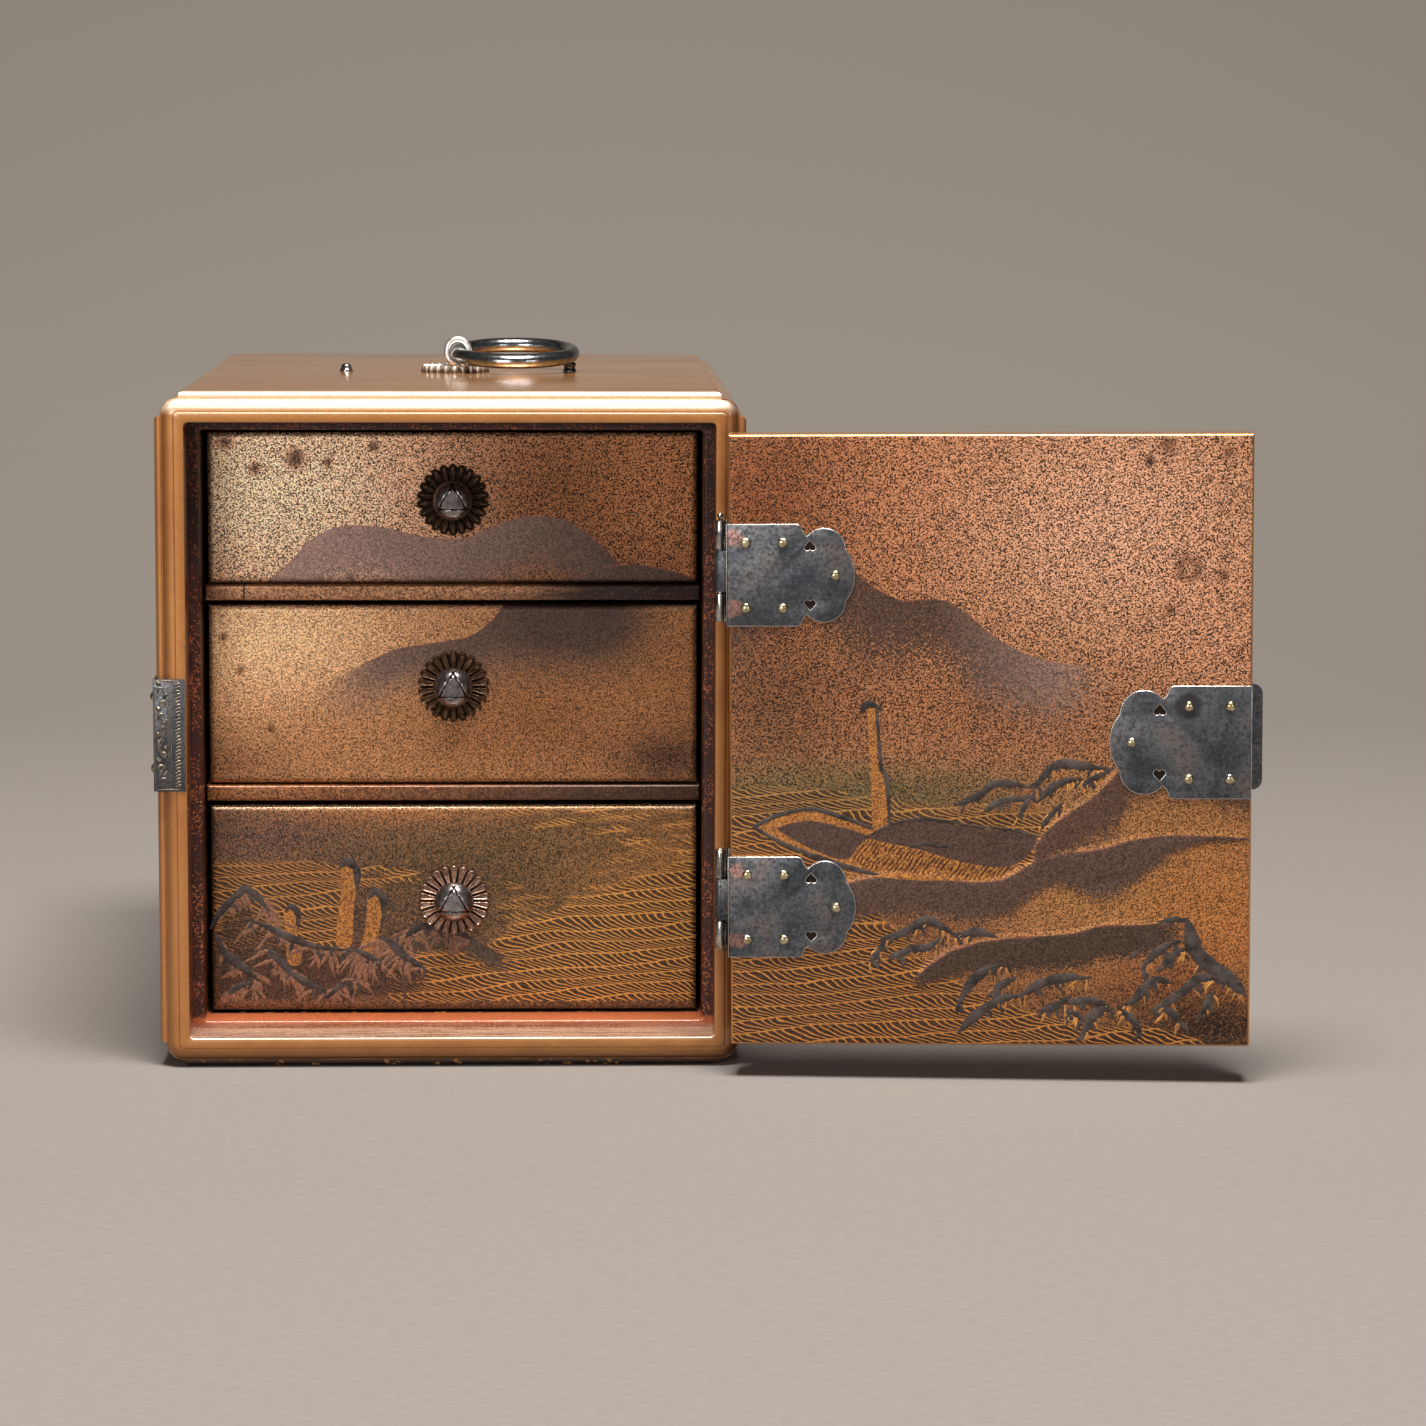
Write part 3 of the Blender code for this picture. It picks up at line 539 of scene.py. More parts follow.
def picture_lacquer(name, banks, line=None, glow=1.0, blend=0.5, grit=1.3):
    """Sprinkled lacquer with banks that fade downwards from a crisp edge.

    Each board carries its own layout: air (ground colour), bank_N (depth below the edge, cover, light),
    sea (wave cover, ragged, painted shade under the heart holes) and shapes (gold, ink and thatch).
    """
    mix = Finish(name, Metallic=0.7, Coat_Weight=0.12, Coat_Roughness=0.2)
    panel = mix.field("panel")
    red, green, blue = mix.cells(panel, 4.0, flat=True)
    coarse = mix.span(mix.noise(panel, 3.7, 2, 0.6), 0.34, 0.66)
    fine = mix.noise(panel, 4.6, 1)
    grain = coarse * 0.6 + red * 0.4
    air = mix.field("air", "Color")
    height = mix.parts(panel)[1]
    spread = mix.span(height, 44, 62, 0.22, 0.32 / grit)
    faint = mix.span(height, 44, 62, 0.26 * glow, (0.45 - 0.15 * grit) * glow)
    bright = mix.span(height, 44, 62, 1.8 * glow, (1.54 + 0.2 * grit) * glow)
    dust = mix.span(grain, 0.5 - spread, 0.5 + spread, faint, bright)
    colour = mix.multiplied(air, dust)
    colour = mix.over(mix.span(green, 0.84, 0.92, 0, 0.5), colour, mix.over(0.45, air, shade(236, 150, 80)))
    speck = mix.span(fine * 0.75 + blue * 0.25, 0.32, 0.68)
    soft = mix.span(fine * 0.7 + red * 0.3, 0.3, 0.7, 0.45, 1.5)
    if line is not None:
        drawn = waves_on(mix, panel, *line[:4])
        sea, ragged, _ = mix.parts(mix.field("sea"))
        u, v, _ = mix.parts(panel)
        torn = mix.noise(mix.point(u * 0.13, v * 0.7, 0.0), 1.0, 2)
        wet = mix.span(sea - torn, -0.08, 0.08)
        trough = mix.multiplied(line[4], soft)
        colour = mix.over(mix.span(sea, 0.35, 1.0, 0, 0.85), colour, trough)
        gilt = mix.multiplied(mix.over(ragged, line[5], line[6]), mix.span(soft, 0.45, 1.5, 0.8, 1.12))
        colour = mix.over(drawn * wet, colour, gilt)
    for number, (bank_colour, light_colour) in enumerate(banks, 1):
        depth, cover, light = mix.parts(mix.field(f"bank_{number}"))
        within = mix.span(depth, 0.0, 0.12)
        held = mix.span(cover - speck * blend, -0.08, 0.88 - 0.75 * blend)
        held = held * mix.span(cover, 0.0, 0.12)
        tone = mix.over(light, bank_colour, light_colour)
        tone = mix.multiplied(tone, soft)
        broken = mix.span(mix.noise(panel, 0.35, 2), 0.42, 0.6, 0, 0.5)
        tone = mix.over(mix.span(depth, 0.34, 0.12) * broken, tone, shade(176, 92, 76))
        colour = mix.over(within * held, colour, tone)
    gold, ink, thatch = mix.parts(mix.field("shapes"))
    u, v, _ = mix.parts(panel)
    stalks = u * -7.4 + v * 5.6
    stalks = mix.reckon("SINE", stalks + mix.noise(panel, 0.5, 2) * 9.0)
    leaf = mix.multiplied(mix.over(mix.span(red, 0.5, 0.66), shade(206, 138, 72), shade(118, 74, 42)), soft)
    stalk = mix.span(stalks, 0.0, 0.6) * mix.span(mix.noise(panel, 0.8, 1), 0.36, 0.52)
    leaf = mix.over(stalk * thatch, leaf, shade(70, 40, 24))
    colour = mix.over(mix.span(gold, 0.0, 0.12), colour, leaf)
    dark = mix.multiplied(shade(88, 66, 58), soft)
    colour = mix.over(mix.span(ink, 0.0, 0.12), colour, dark)
    # painted shade under the heart holes, carried in the third part of sea
    colour = mix.over(mix.parts(mix.field("sea"))[2], colour, shade(36, 22, 16))
    mix.set("Base Color", colour)
    mix.set("Roughness", mix.span(red, 0, 1, 0.36, 0.5))
    mix.bump(grain, 0.03, 0.5)
    return mix.material


def raised_ink():
    """Thick blue-grey lacquer of the raised outlines."""
    mix = Finish("raised_ink", Specular_IOR_Level=0.2)
    red, green, _ = mix.cells(mix.place(), 3.0)
    cloud = mix.noise(mix.place(), 0.4, 3)
    colour = mix.over(mix.span(cloud, 0.35, 0.65), shade(42, 36, 34), shade(76, 67, 64))
    mix.set("Base Color", mix.over(mix.span(red, 0.7, 0.95, 0, 0.3), colour, shade(110, 86, 72)))
    mix.set("Roughness", mix.span(green, 0, 1, 0.55, 0.72))
    mix.bump(red + cloud, 0.03, 0.5)
    return mix.material


def straw_paint():
    """Brown-gold lines of the rocks' grain."""
    mix = Finish("straw_paint", Metallic=0.5)
    red, green, _ = mix.cells(mix.place(), 2.8)
    cloud = mix.noise(mix.place(), 0.12, 2)
    colour = mix.over(mix.span(cloud, 0.4, 0.6), shade(150, 96, 56), shade(210, 146, 76))
    mix.set("Base Color", mix.over(red * 0.35, colour, shade(96, 62, 40)))
    mix.set("Roughness", mix.span(green, 0, 1, 0.36, 0.5))
    return mix.material


def red_copper_paint():
    """Reddish copper powder of the foliage."""
    mix = Finish("red_copper_paint", Metallic=0.15)
    red, green, _ = mix.cells(mix.place(), 2.8)
    mix.set("Base Color", mix.over(mix.reckon("POWER", red, 1.4), shade(98, 66, 46), shade(146, 98, 70)))
    mix.set("Roughness", mix.span(green, 0, 1, 0.4, 0.55))
    return mix.material


def dark_silver(name="dark_silver"):
    """Tarnished blue-grey plate: fine dark mottling over soft clouds, rubbed copper-pink in places."""
    mix = Finish(name, Metallic=0.75)
    cloud = mix.noise(mix.place(), 0.16, 3, 0.5)
    mottle = mix.noise(mix.place(), 1.6, 4, 0.7, 0.3)
    colour = mix.ramp(
        cloud, (0.34, shade(64, 68, 74)), (0.52, shade(92, 94, 98)), (0.68, shade(110, 102, 101))
    )
    colour = mix.over(mix.span(mottle, 0.48, 0.62, 0, 0.75), colour, shade(46, 46, 46))
    colour = mix.over(mix.span(mottle, 0.44, 0.34, 0, 0.4), colour, shade(132, 132, 134))
    nails_rubbed = [(42.6, middle + lift) for middle in HINGE_MIDDLES.values() for lift in (6.2, -5.6)]
    for x, z in nails_rubbed:
        rub = mix.near(open_door(x, DOOR_THICKNESS + 0.4, z), 1.5, 2.6)
        rub = rub * mix.span(mottle, 0.42, 0.58, 0.75, 0.2)
        colour = mix.over(rub, colour, shade(168, 118, 104))
    scorch = mix.near(open_door(-33.1, DOOR_THICKNESS + 0.4, DOOR_MIDDLE + 6.1), 2.2, 0.8)
    colour = mix.over(scorch * 0.8, colour, shade(44, 40, 42))
    mix.set("Base Color", colour)
    mix.set("Roughness", mix.span(mottle, 0.3, 0.7, 0.32, 0.52))
    mix.bump(mottle, 0.02, 0.35)
    return mix.material


def worked_metal(name, light, dark, hollow, rough):
    """Metal rubbed on its high places, with tarnish left in its hollows."""
    mix = Finish(name, Metallic=0.95)
    cloud = mix.noise(mix.place(), 0.8, 4, 0.6)
    colour = mix.ramp(cloud, (0.3, shade(*dark)), (0.62, shade(*light)))
    high = mix.span(mix.field("relief", "Fac"), 0.3, 0.85)
    mix.set("Base Color", mix.over(high, shade(*hollow), colour))
    marks = mix.noise(mix.place(3.0, 0.4, 0.4), 1.0, 3)
    mix.set("Roughness", mix.span(marks, 0.3, 0.7, *rough))
    mix.bump(marks, 0.01, 0.3)
    return mix.material


def bright_metal(name, light, dark, rough=(0.16, 0.32)):
    """Polished metal, mottled a little, with a few fine marks."""
    mix = Finish(name, Metallic=1.0)
    cloud = mix.noise(mix.place(), 0.8, 4, 0.6)
    mix.set("Base Color", mix.ramp(cloud, (0.3, shade(*dark)), (0.62, shade(*light))))
    marks = mix.noise(mix.place(3.0, 0.4, 0.4), 1.0, 3)
    mix.set("Roughness", mix.span(marks, 0.3, 0.7, *rough))
    mix.bump(marks, 0.01, 0.3)
    return mix.material


# Picture layout


def through(points, steps=10):
    """A smooth line through the points."""
    knots = np.array(points, float)
    padded = np.vstack([2 * knots[0] - knots[1], knots, 2 * knots[-1] - knots[-2]])
    share = np.linspace(0, 1, steps, endpoint=False)[:, None]
    pieces = []
    for before, start, end, after in zip(padded, padded[1:], padded[2:], padded[3:]):
        square = (2 * before - 5 * start + 4 * end - after) * share**2
        cube = (3 * start - before - 3 * end + after) * share**3
        pieces.append(0.5 * (2 * start + (end - before) * share + square + cube))
    return np.vstack([*pieces, knots[-1:]])


def below(line, u, v):
    """Depth under a line that runs from left to right, negative above it."""
    path = through(line)
    slope = np.gradient(path[:, 1], path[:, 0])
    lean = np.interp(u, path[:, 0], slope)
    return (np.interp(u, path[:, 0], path[:, 1]) - v) / np.sqrt(1 + lean**2)


def inside(outline, u, v):
    """Distance inside a closed shape, negative outside it."""
    ring = through(list(outline) + [outline[0]], 6)[:-1]
    spots = np.stack([u, v], 1)
    nearest = np.full(len(u), 1e9)
    crossings = np.zeros(len(u), int)
    for a, b in zip(ring, np.roll(ring, -1, axis=0)):
        edge = b - a
        share = np.clip(((spots - a) @ edge) / max(edge @ edge, 1e-12), 0, 1)
        gap = spots - a - share[:, None] * edge
        nearest = np.minimum(nearest, (gap**2).sum(1))
        crosses = (a[1] > v) != (b[1] > v)
        reach = a[0] + (v - a[1]) * (b[0] - a[0]) / (edge[1] if abs(edge[1]) > 1e-12 else 1e-12)
        crossings += crosses & (u < reach)
    return np.sqrt(nearest) * np.where(crossings % 2, 1, -1)


def spray(u, v, ground, clouds):
    """Soft clouds of colour laid over each other: (u, v, half-width, half-height, colour, strength)."""
    air = np.tile(np.array(shade(*ground)[:3]), (len(u), 1))
    for mu, mv, wide, high, colour, strength in clouds:
        tint(air, strength * np.exp(-(((u - mu) / wide) ** 2) - ((v - mv) / high) ** 2), colour)
    return air


def tint(air, share, colour):
    """Draws each point of the air towards a colour by its share."""
    air += share[:, None] * (np.array(shade(*colour)[:3]) - air)


def stain(air, u, v, colour, stains):
    """Small round stains: (u, v, radius, strength)."""
    for su, sv, size, strength in stains:
        tint(air, strength * np.exp(-(((u - su) ** 2 + (v - sv) ** 2) / size**2) ** 1.5), colour)


def haze(value, start, end):
    """1 up to the start, falling smoothly to 0 at the end."""
    end = np.asarray(end, float)
    share = np.clip((end - value) / (end - start), 0, 1)
    return share * share * (3 - 2 * share)


def board(name, width, height, thickness, rounding, pitch, back_rounding=0.0):
    """A board that faces -Y round the origin: a fine grid in front, rounded edges, a plain back."""
    columns, rows = (int(round((size - 2 * rounding) / pitch)) for size in (width, height))
    bpy.ops.mesh.primitive_grid_add(
        x_subdivisions=columns, y_subdivisions=rows, size=MM, rotation=(math.radians(90), 0, 0)
    )
    piece = fresh(name)
    piece.scale = (width - 2 * rounding, height - 2 * rounding, 1)
    settle(piece)
    pick(piece, "faces", lambda face: True)
    bpy.ops.mesh.region_to_loop()
    half = [width / 2 - rounding, height / 2 - rounding]
    front_angles = np.radians([22.5, 45, 67.5, 90])
    stops = [(rounding * math.sin(a), rounding * (1 - math.cos(a))) for a in front_angles]
    if back_rounding:
        for a in np.radians([0, 45, 90]):
            out = rounding - back_rounding + back_rounding * math.cos(a)
            stops.append((out, thickness - back_rounding * (1 - math.sin(a))))
    else:
        stops.append((rounding, thickness))
    out_before, depth_before = 0.0, 0.0
    for out, depth in stops:
        grow = [(size + out) / (size + out_before) for size in half]
        bpy.ops.mesh.extrude_edges_move()
        bpy.ops.transform.resize(value=(grow[0], 1, grow[1]), center_override=(0, 0, 0))
        bpy.ops.transform.translate(value=(0, (depth - depth_before) * MM, 0))
        out_before, depth_before = out, depth
    bpy.ops.mesh.edge_face_add()
    done()
    return piece


def lay_out(piece, u, v, fields):
    """Stores the layout on the board's points."""
    mesh = piece.data
    panel = np.stack([u, v, np.zeros_like(u)], 1)
    for name, values in {"panel": panel, **fields}.items():
        if name == "air":
            layer = mesh.attributes.new(name, "FLOAT_COLOR", "POINT")
            rgba = np.hstack([values, np.ones((len(values), 1))])
            layer.data.foreach_set("color", rgba.astype(np.float32).ravel())
        else:
            layer = mesh.attributes.new(name, "FLOAT_VECTOR", "POINT")
            layer.data.foreach_set("vector", np.ascontiguousarray(values, np.float32).ravel())


def triple(a, b=0.0, c=0.0):
    """Three numbers for each point."""
    size = len(a)
    return np.stack([np.broadcast_to(part, size).astype(float) for part in (a, b, c)], 1)


def brush(name, strokes, height, to_world, finish):
    """Raised strokes: each has its (u, v) points, greatest half-width, and "even" if it isn't tapered."""
    bpy.ops.curve.primitive_nurbs_path_add()
    piece = fresh(name)
    data = piece.data
    data.splines.clear()
    data.dimensions = "3D"
    data.bevel_depth = MM
    data.bevel_resolution = 2
    data.use_fill_caps = True
    for number, (points, width, *even) in enumerate(strokes):
        path = through(points, 6)
        spline = data.splines.new("POLY")
        spline.points.add(len(path) - 1)
        length = np.concatenate([[0], np.cumsum(np.hypot(*np.diff(path, axis=0).T))])
        share = length / length[-1]
        for point, (u, v), along in zip(spline.points, path, share):
            point.co = (u * MM, v * MM, 0, 1)
            swell = math.sin(math.pi * min(max(along, 0.02), 0.98) ** 0.85) ** (0.15 if even else 0.75)
            uneven = 1 + 0.13 * math.sin(11 * along + 2 * number) + 0.07 * math.sin(29 * along + number)
            point.radius = 1.25 * width * swell * uneven
    only(piece)
    bpy.ops.object.convert(target="MESH")
    piece = bpy.context.object
    piece.scale = (1, 1, height)
    settle(piece)
    settle(piece, to_world)
    weld(piece)
    wear(piece, finish)
    return smooth(piece, 60)


def strands(strokes, seed, count, reach, lean, width, floor=6.5):
    """Fine strokes that hang from the lower side of the given ones."""
    rng = random.Random(seed)
    found = []
    for points, *_ in strokes:
        path = through(points, 5)
        for _ in range(max(2, round(count * len(path) / 20))):
            index = rng.randrange(1, len(path) - 1)
            u, v = path[index]
            way = math.radians(rng.uniform(*lean))
            far = rng.uniform(*reach)
            end = (u + far * math.cos(way), max(v + far * math.sin(way), floor))
            half = ((u + end[0]) / 2 + rng.uniform(-0.4, 0.4), (v + end[1]) / 2 + rng.uniform(0, 0.4))
            found.append(([(u, v), half, end], rng.uniform(*width)))
    return found


def between(strokes, left, right):
    """Only the strokes that stay between two sides."""
    return [(points, width) for points, width in strokes if all(left < u < right for u, _ in points)]


def upright(depth):
    """From (u, v, rise) on a face of the closed front, at this depth (mm), to the scene."""
    return Matrix(((1, 0, 0, 0), (0, 0, -1, (FRONT + depth) * MM), (0, 1, 0, 0), (0, 0, 0, 1)))


# Camera, floor and light


PICTURE_SIZE = 1426
SENSOR = 36


def camera():
    """The photograph's view: focal length in pixels, turns in radians, place in millimetres."""
    lens, pitch, yaw, roll = 4700.0, 0.1247, 0.0339, 0.0031
    forward = Vector((math.sin(yaw) * math.cos(pitch), math.cos(yaw) * math.cos(pitch), -math.sin(pitch)))
    level = Vector((math.cos(yaw), -math.sin(yaw), 0))
    plumb = level.cross(forward)
    right = math.cos(roll) * level + math.sin(roll) * plumb
    up = math.cos(roll) * plumb - math.sin(roll) * level
    bpy.ops.object.camera_add()
    eye = bpy.context.object
    eye.data.sensor_width = SENSOR
    eye.data.lens = SENSOR * lens / PICTURE_SIZE
    eye.data.clip_start = 0.05
    place = Matrix((right, up, -forward)).transposed().to_4x4()
    place.translation = Vector((17.55, -858.0, 160.5)) * MM
    eye.matrix_world = place
    bpy.context.scene.camera = eye


def soft_light(name, place, target, size, power, colour):
    """A rectangular lamp at a place (m), aimed at its target."""
    bpy.ops.object.light_add(type="AREA", location=place)
    lamp = bpy.context.object
    lamp.name = name
    lamp.data.shape = "RECTANGLE"
    lamp.data.size, lamp.data.size_y = size
    lamp.data.energy = power
    lamp.data.color = colour
    lamp.visible_camera = False
    aim = Vector(target) - Vector(place)
    lamp.rotation_euler = aim.to_track_quat("-Z", "Y").to_euler()


def studio():
    """Grey paper that curves up behind the object, a large soft light above and two low ones in front."""
    bpy.context.scene.view_settings.view_transform = "Standard"
    sky = bpy.context.scene.world or bpy.data.worlds.new("studio")
    bpy.context.scene.world = sky
    sky.use_nodes = True
    backing = sky.node_tree.nodes["Background"]
    backing.inputs[0].default_value = (0.55, 0.52, 0.50, 1)
    backing.inputs[1].default_value = 0.13
    soft_light("overhead", (0.06, -0.30, 0.90), (0.03, -0.05, 0), (0.42, 0.32), 21.0, (1, 0.98, 0.95))
    soft_light("low_left", (-0.40, -1.05, 0.26), (0, 0, 0.06), (0.40, 0.16), 3.5, (1, 0.97, 0.94))
    soft_light("low_right", (0.55, -1.0, 0.24), (0.08, 0, 0.06), (0.30, 0.16), 0.9, (1, 0.98, 0.96))
    bpy.ops.mesh.primitive_plane_add(size=1, location=(0, -0.2, 0))
    floor = fresh("studio_floor")
    floor.scale = (4, 2.6, 1)
    settle(floor)
    pick(floor, "edges", lambda edge: all(co.y > 1.0 for co in ends(floor, edge)))
    bpy.ops.mesh.extrude_edges_move(TRANSFORM_OT_translate={"value": (0, 0, 2.0)})
    done()
    pick(floor, "edges", lambda edge: all(co.y > 1.0 and co.z < 0.1 for co in ends(floor, edge)))
    bpy.ops.mesh.bevel(offset=0.7, segments=24, profile=0.5)
    done()
    smooth(floor)
    paper = Finish("studio_paper", Roughness=0.9)
    fibre = paper.noise(paper.place(0.4, 1.2, 1.0), 1.0, 3)
    grey = paper.over(paper.span(fibre, 0.35, 0.65), shade(113, 107, 102), shade(119, 112, 107))
    # painted light: the paper is paler towards the back and darker in front, in place of how the light falls
    # across floor and backdrop
    far = paper.span(paper.parts(paper.place())[1], -150, 700)
    paper.set("Base Color", paper.over(far, grey, shade(145, 137, 129)))
    wear(floor, paper.material)


# The case


def frame_steps():
    """The moulding from the outside inwards: (half-width, depth, corner radius, bottom drop)."""
    steps = [(48.8, ROUND_DEPTH + 0.1), (48.66, ROUND_DEPTH + 0.06)]
    for angle in np.radians(np.linspace(0, 90, 12)):
        steps.append((46.6 + 2.05 * math.cos(angle), ROUND_DEPTH - 1.5 * math.sin(angle)))
    steps += [(46.57, 0.30), (46.54, 0.10), (46.48, 0.02), (46.4, 0)]
    full = [(half, depth, half - ARC_CENTRE, 0.0) for half, depth in steps]
    inner = [(44.98, 0), (44.88, 0.03), (44.82, 0.10), (OPENING_HALF, 0.2), (OPENING_HALF, REBATE)]
    full += [(half, depth, 0.8, 0.0) for half, depth in inner]
    shoulder = [(43.5, REBATE), (43.28, REBATE + 0.03), (43.1, REBATE + 0.14), (43.02, REBATE + 0.32)]
    shoulder += [(INSIDE_HALF, REBATE + 0.5), (INSIDE_HALF, SHELF_FRONT), (INSIDE_HALF, INSIDE_BACK)]
    return full + [(half, depth, 0.8, SILL_DROP) for half, depth in shoulder]


def step_inwards(piece, steps):
    """Extrudes the selected front face to each loop in turn."""
    half, radius, drop = CORE_HALF, CORE_HALF - ARC_CENTRE, 0.0
    for new_half, depth, new_radius, new_drop in steps:
        bpy.ops.mesh.extrude_region_move()
        bm = bmesh.from_edit_mesh(piece.data)
        for vertex in bm.verts:
            if not vertex.select:
                continue
            x, z = vertex.co.x / MM, vertex.co.z / MM - MIDDLE
            if z < 0:
                z += drop
            angle = math.atan2(abs(z) - (half + TALLER - radius), abs(x) - (half - radius))
            reach = new_half - new_radius
            x = math.copysign(reach + new_radius * math.cos(angle), x)
            z = math.copysign(reach + TALLER + new_radius * math.sin(angle), z)
            vertex.co = Vector((x, FRONT + depth, MIDDLE + z - (new_drop if z < 0 else 0))) * MM
        bmesh.update_edit_mesh(piece.data)
        half, radius, drop = new_half, new_radius, new_drop


def case_piece(gold, moulding, groove, dark, deep):
    """The case in one piece: the core, the moulding stepped in from it, the opening and raised panels."""
    case = block(
        "case_lacquered",
        (-CORE_HALF, FRONT + ROUND_DEPTH, MIDDLE - CORE_HALF - TALLER),
        (CORE_HALF, -FRONT, MIDDLE + CORE_HALF + TALLER),
    )
    pick(case, "edges", lambda edge: abs(ends(case, edge)[0].y - ends(case, edge)[1].y) > 0.01)
    bpy.ops.mesh.bevel(offset=(CORE_HALF - ARC_CENTRE) * MM, segments=10, profile=0.5)
    done()
    pick(case, "faces", lambda face: face.normal.y < -0.9)
    step_inwards(case, frame_steps())
    done()
    pick(case, "faces", on_panel)
    bpy.ops.mesh.extrude_region_move()
    bm = bmesh.from_edit_mesh(case.data)
    bm.normal_update()
    moves = {vertex: face.normal.copy() for face in bm.faces if face.select for vertex in face.verts}
    for vertex, way in moves.items():
        vertex.co += way * PANEL_STEP * MM
    bmesh.update_edit_mesh(case.data)
    done()

    def on_rim(edge):
        one, other = ends(case, edge)
        side = all(abs(abs(co.x) / MM - 50) < 1e-3 for co in (one, other))
        level = all(abs(abs(co.z / MM - MIDDLE) - MIDDLE) < 1e-3 for co in (one, other))
        return side or level

    pick(case, "edges", on_rim)
    bpy.ops.mesh.bevel(offset=0.9 * MM, segments=6, profile=0.5)
    done()
    moulded = (FRONT + PANEL_FRONT + 1.2) * MM
    wear(case, gold)
    wear(case, moulding, lambda face: face.center.y < moulded)
    wear(case, groove, lambda face: in_groove(face.center / MM))
    # painted shadow: the low front faces below the moulding take the near-black lacquer, standing in for the
    # dark gap under the case's front
    wear(case, deep, lambda face: face.center.z < 1.0 * MM and face.center.y < moulded)
    wear(case, dark, lambda face: within_opening(face.center / MM, 0.2, SHELF_FRONT))
    wear(case, deep, lambda face: within_opening(face.center / MM, SHELF_FRONT, INSIDE_BACK + 1))
    smooth(case, 40)
    enter(case, "case", "gold_lacquer", "case")


def on_panel(face):
    """Whether it is one of the case's large outer faces: a side, the top or the underside."""
    outer = abs(face.center.x) / MM > 45 or abs(face.center.z / MM - MIDDLE) > 55
    return outer and face.area > 0.004 and abs(face.normal.y) < 0.1


def half_of(spot):
    """The half-width of the moulding's loop that passes through a spot (mm)."""
    return max(abs(spot.x), abs(spot.z - MIDDLE) - TALLER)


def in_groove(spot):
    """Whether a spot (mm) lies in the moulding's outer groove or in the fine one inside its round."""
    depth, half = spot.y - FRONT, half_of(spot)
    outer = ROUND_DEPTH < depth < ROUND_DEPTH + 0.2 and half > 48.6 and (spot.x > 45 or spot.z < 10)
    return outer or (0.02 < depth < 0.36 and 46.4 < half < 46.62)


def within_opening(spot, near, far):
    """Whether a spot (mm) lies on the walls of the opening, between two depths."""
    return near < spot.y - FRONT < far and half_of(spot) < OPENING_HALF + 0.05


def shelves(finish):
    """The two boards between the drawers, with eased front edges."""
    half, back = INSIDE_HALF - 0.3, FRONT + INSIDE_BACK - 0.3
    for level, low in SHELVES.items():
        near, far = (-half, FRONT + SHELF_FRONT, low), (half, back, low + SHELF_THICKNESS)
        shelf = block(f"shelf_{level}_board", near, far)
        front = (FRONT + SHELF_FRONT + 0.1) * MM
        pick(shelf, "edges", lambda edge: all(co.y < front for co in ends(shelf, edge)))
        bpy.ops.mesh.bevel(offset=0.4 * MM, segments=4, profile=0.5)
        done()
        pick(shelf, "faces", lambda face: True)
        bpy.ops.mesh.subdivide(number_cuts=3)
        done()
        wear(shelf, finish)
        smooth(shelf, 40)
        enter(shelf, "case", "flaked_lacquer", f"shelf_{level}")


def rail_lacquer():
    """The shelves: gold flakes that thin out to purple-brown on the right, the upper one cracked."""
    mix = Finish("rail_lacquer", Metallic=0.5, Coat_Weight=0.1, Coat_Roughness=0.2)
    x, _, z = mix.parts(mix.place())
    red, green, blue = mix.cells(mix.place(), 3.6)
    wander = mix.noise(mix.place(0.05, 0.1, 0.4), 1.0, 3)
    lower = mix.span(z, 60, 59)
    dark = mix.span(x + wander * 30, 22, 36)
    dark = mix.reckon("MAXIMUM", dark * (1.0 - lower), lower * mix.span(x, -30, 22, 0.0, 0.85))
    ground = mix.over(mix.span(red, 0, 1), shade(118, 76, 48), shade(214, 156, 112))
    ground = mix.over(lower, ground, mix.over(mix.span(red, 0, 1), shade(84, 46, 26), shade(182, 118, 70)))
    purple = mix.over(mix.span(green, 0.75, 1, 0, 0.6), shade(50, 36, 32), shade(112, 78, 58))
    colour = mix.over(dark, ground, purple)
    # random dark flecks among the flakes
    dark_flecks = mix.span(blue, 0.78, 0.9, 0, 0.7)
    colour = mix.over(dark_flecks, colour, shade(60, 36, 26))
    split = mix.reckon("ABSOLUTE", x + 36.0)
    split = mix.span(split, 0.1, 0.18, 1, 0) * mix.span(z, 60, 61)
    colour = mix.over(split, colour, shade(24, 14, 10))
    mix.set("Base Color", colour)
    mix.set("Roughness", mix.span(red, 0, 1, 0.3, 0.48))
    mix.bump(red, 0.02, 0.4)
    return mix.material


# Drawers and their pictures


